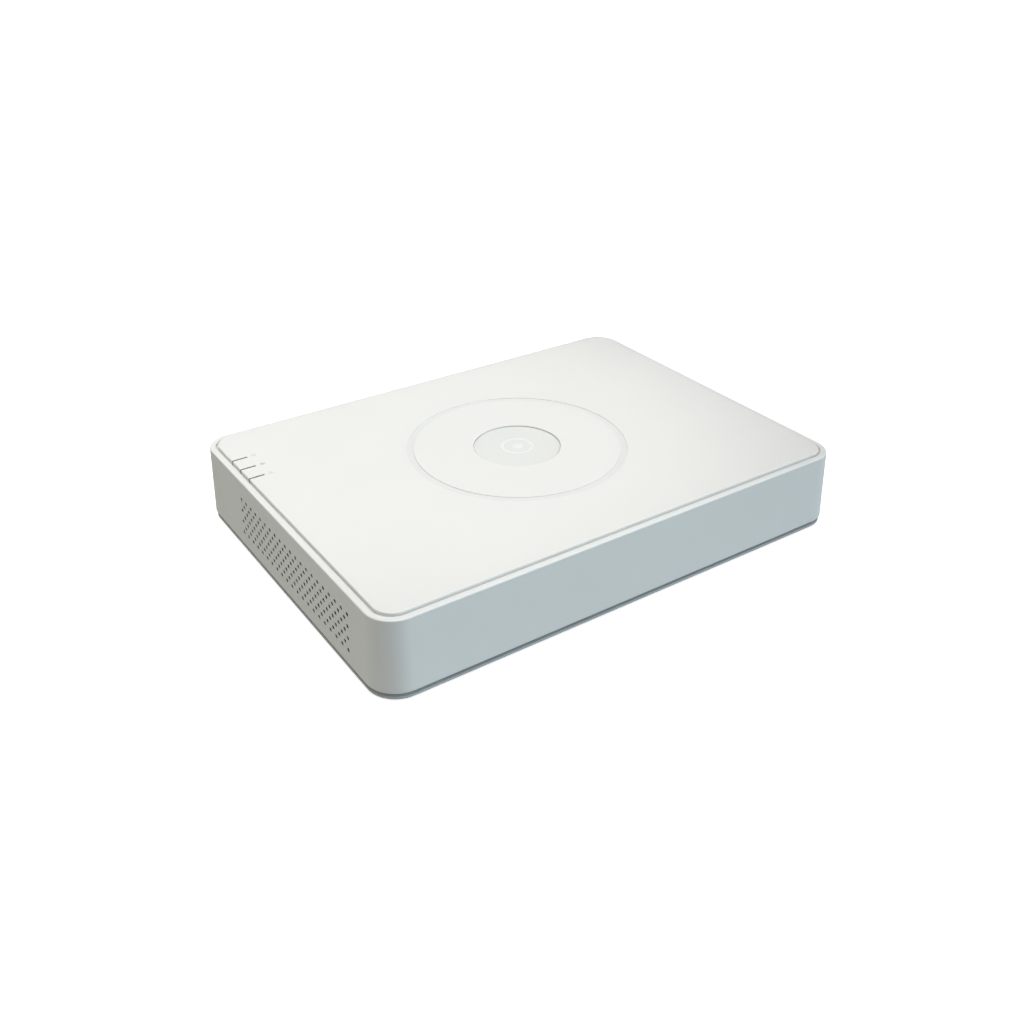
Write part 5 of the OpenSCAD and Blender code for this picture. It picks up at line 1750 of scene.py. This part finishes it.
@dataclass
class Cables:
    """The internal cables, held by their plugs at both ends."""

    data_route: tuple = ((-36, -6, 10.4), (-40, -6, 10.4), (-48, -5, 11.5), (-56, 0, 16), (-60, 8, 23),
                         (-57, 17, 30), (-49, 23, 33), (-42.5, 24, 30), (-40.5, 24, 26), (-40.5, 24, 22.6))
    power_route: tuple = ((-39, -28, 10.6), (-44, -28, 10.6), (-54, -27, 11), (-68, -20, 14), (-77, -6, 20),
                          (-80, 8, 26), (-76, 19, 29), (-69, 24, 27), (-66, 24, 22), (-66, 24, 17.6))
    fan_route: tuple = ((-132, 3, 27), (-132, 6, 27), (-130, 9, 26), (-126, 13, 24), (-119, 18, 22),
                        (-112, 20.5, 20), (-110, 21, 17), (-110, 21, 13.8))
    curve_steps: int = 6

    def build(self) -> None:
        """Builds the cables and their plugs."""
        flat, tilted, plug = (0, 1, 0), (0, 0.3, 1), low("cable_plugs").z
        self.strand("data_cable_jacket", self.data_route, flat, 0.0, (8.0, 1.4), RED_JACKET,
                    "data_cable_jacket", "data_cable")
        for i, finish in enumerate((YELLOW_JACKET, BLACK_JACKET, RED_JACKET)):
            self.strand(f"disk_power_wire_{i + 1}", self.power_route, flat, (i - 1) * 2.2, (1.9, 1.9), finish,
                        "power_cable_jacket", *([] if i else ["disk_power_cable"]))
        for i, finish in enumerate((RED_JACKET, BLACK_JACKET)):
            self.strand(f"fan_wire_{i + 1}", self.fan_route, tilted, (i - 0.5) * 1.2, (1.1, 1.1), finish,
                        "fan_cable_jacket", *([] if i else ["fan_cable"]))
        make("data_plugs", RED_PLASTIC, "base", "connector_black", ["cable_plugs"], many(
            block, (DISK_X - 5, DISK_Y + 79, plug, (10, 16, 5.2), 0.4),
            (DISK_X - 6.5, DISK_Y + 84, plug + 5.25, (5, 6, 0.5), 0.15),
            (-40.5, 16, BOARD_TOP + 5, (6, 16, 9), 0.4)))
        make("power_plugs", BLACK, "base", "connector_black", ["cable_plugs"], many(
            block, (DISK_X - 6.5, DISK_Y + 54, plug, (13, 23, 5.6), 0.4),
            *[(DISK_X - 8, DISK_Y + 57 + 6.5 * k, plug + 5.62, (7, 3.5, 0.3), 0.1) for k in range(3)],
            (-66, 18.5, BOARD_TOP + 3, (6, 11, 6), 0.4)))
        make("fan_plug", NYLON, "base", "header_nylon", ["cable_plugs"],
             many(block, (-110, 17.5, BOARD_TOP + 1.62, (4.4, 7, 3.6), 0.3)))

    def smooth(self, route: Sequence[Sequence[float]]) -> list[Vector]:
        """A smooth curve through a route's points.

        Args:
            route: The points.

        Returns:
            Points along the curve.
        """
        points = [Vector(p) for p in route]
        points = [points[0], *points, points[-1]]
        made = []
        for a, b, c, d in zip(points, points[1:], points[2:], points[3:]):
            for t in (k / self.curve_steps for k in range(self.curve_steps)):
                made.append(0.5 * (2 * b + (c - a) * t + (2 * a - 5 * b + 4 * c - d) * t**2
                                   + (3 * b - a - 3 * c + d) * t**3))
        return [*made, points[-1]]

    def strand(self, name: str, route: Sequence[Sequence[float]], side: Sequence[float], shift: float,
               section: Point, finish: Finish, slot: str, *nodes: str) -> None:
        """Sweeps one jacket along a route.

        Args:
            name: The piece's name.
            route: The points that it follows.
            side: A direction across the cable's width.
            shift: How far it lies to the side of the route.
            section: The section's width and thickness.
            finish: Its finish.
            slot: The record's material slot; not used.
            nodes: CAD nodes that it stands for.
        """
        path, bm, loops = self.smooth(route), bmesh.new(), []
        stretch = Matrix.Diagonal((section[0] / 2, section[1] / 2, 1.0, 1.0))
        for before, here, after in zip([path[0], *path], path, [*path[1:], path[-1]]):
            along = (after - before).normalized()
            across = along.cross(Vector(side)).normalized()
            wide = across.cross(along)
            turn = Matrix((wide, across, along)).transposed().to_4x4()
            place = at(*here + wide * shift) @ turn @ stretch
            ring = bmesh.ops.create_circle(bm, segments=14, radius=1.0, matrix=place)["verts"]
            loops.append(list({e for v in ring for e in v.link_edges}))
        for first, second in zip(loops, loops[1:]):
            bmesh.ops.bridge_loops(bm, edges=first + second)
        bmesh.ops.holes_fill(bm, edges=[e for e in bm.edges if e.is_boundary], sides=0)
        settle(to_object(bm, name, finish), "base", slot, *nodes, angle=60)


# ---------- studio ----------


@dataclass
class Studio:
    """Floor, lights, world and camera."""

    eye: tuple[float, float, float] = (-299.4, -435.8, 322.3)
    forward: tuple[float, float, float] = (0.4806, 0.7075, -0.5181)
    lens: float = 38.23
    floor_half: float = 15000.0

    def build(self) -> None:
        """Builds the studio around the object."""
        self.camera()
        self.floor()
        self.lights()
        self.world()

    def floor(self) -> None:
        """A wide pale floor, which throws only a little light back at the walls."""
        grid = many(bmesh.ops.create_grid, (), x_segments=1, y_segments=1, size=self.floor_half)
        pale = Finish("pale_floor", (0.9, 0.9, 0.9), 0.9, grain=0.0, mottle=0.01)
        piece = to_object(filled(grid), "studio_floor", pale)
        tree = piece.data.materials[0].node_tree
        wires, sockets = Wiring(tree), tree.nodes["Principled BSDF"].inputs
        seen = wires.node("LightPath").outputs["Is Camera Ray"]
        wires.feed(sockets["Base Color"], wires.mix(seen, (0.22, 0.22, 0.22), (0.9, 0.9, 0.9)))
        wires.feed(sockets["Emission Color"], wires.mix(seen, (0, 0, 0), (1, 1, 1)))
        sockets["Emission Strength"].default_value = 0.75

    def lights(self) -> None:
        """A broad soft light from above, a soft pool on the left of the top, and three side lights."""
        for name, strength, spread, aim, colour in (
            ("light_overhead", 0.60, 50, (0.02, 0.03, -1.0), (1.0, 0.91, 0.905)),
            ("light_rear", 0.6, 60, (0.15, -1.0, -0.2), (1.0, 0.985, 0.96)),
            ("light_left", 0.92, 50, (1.0, -0.25, -0.30), (0.99, 1.0, 0.87)),
            ("light_front", 2.88, 60, (-0.9, 1.0, -0.28), (0.73, 0.91, 1.0)),
        ):
            self.hang(name, "SUN", strength, colour, (0, 0, 1), aim).angle = math.radians(spread)
        pool = self.hang("light_pool", "SPOT", 17.0, (1.0, 0.985, 0.965), (-0.045, 0.036, 1.0), (0, 0, -1))
        pool.spot_size, pool.spot_blend, pool.shadow_soft_size = math.radians(32.6), 0.72, 0.08

    @staticmethod
    def hang(name: str, kind: str, strength: float, colour: Colour, place: Sequence[float],
             aim: Sequence[float]) -> bpy.types.Light:
        """Puts a light in the scene.

        Args:
            name: The light's name.
            kind: SUN or SPOT.
            strength: Its strength, or its power in watts.
            colour: Its colour.
            place: Where it hangs, in metres.
            aim: The direction that it shines in.

        Returns:
            The light's settings.
        """
        data = bpy.data.lights.new(name, kind)
        data.energy, data.color = strength, colour
        lamp = bpy.data.objects.new(name, data)
        lamp.location = place
        lamp.rotation_euler = Vector(aim).to_track_quat("-Z", "Y").to_euler()
        bpy.context.scene.collection.objects.link(lamp)
        return data

    def world(self) -> None:
        """A sky that is bright overhead and dim at the horizon, and plain white where it is seen."""
        world = bpy.data.worlds.new("studio_sky")
        world.use_nodes = True
        bpy.context.scene.world = world
        wires = Wiring(world.node_tree)
        height = wires.node("SeparateXYZ", Vector=wires.node("TexCoord").outputs["Generated"])
        shade = wires.mix(wires.ramp(height.outputs["Z"], 0.0, 0.9), (0.16, 0.165, 0.17), (0.34, 0.34, 0.34))
        seen = wires.node("LightPath").outputs["Is Camera Ray"]
        wires.feed(world.node_tree.nodes["Background"].inputs["Color"], wires.mix(seen, shade, (1, 1, 1)))

    def camera(self) -> None:
        """The camera, high in front of the left corner."""
        data = bpy.data.cameras.new("camera")
        data.lens, data.sensor_width, data.clip_end = self.lens, 36.0, 100.0
        camera = bpy.data.objects.new("camera", data)
        camera.location = Vector((self.eye[0], self.eye[1] + CASE_Y, self.eye[2])) * MM
        camera.rotation_euler = Vector(self.forward).to_track_quat("-Z", "Y").to_euler()
        bpy.context.scene.collection.objects.link(camera)
        bpy.context.scene.camera = camera
        bpy.context.scene.view_settings.view_transform = "Standard"


def main() -> None:
    """Builds the studio and the recorder, in order."""
    logging.basicConfig(level=logging.INFO, format="%(name)s %(message)s")
    outline = CaseOutline()
    for part in (Studio(), Cover(outline), Base(outline), Screws(), RearPanel(), MainBoard(), HardDisk(),
                 Fan(), Cables()):
        part.build()
        log.info("%s done", type(part).__name__)


if __name__ == "__main__":
    main()
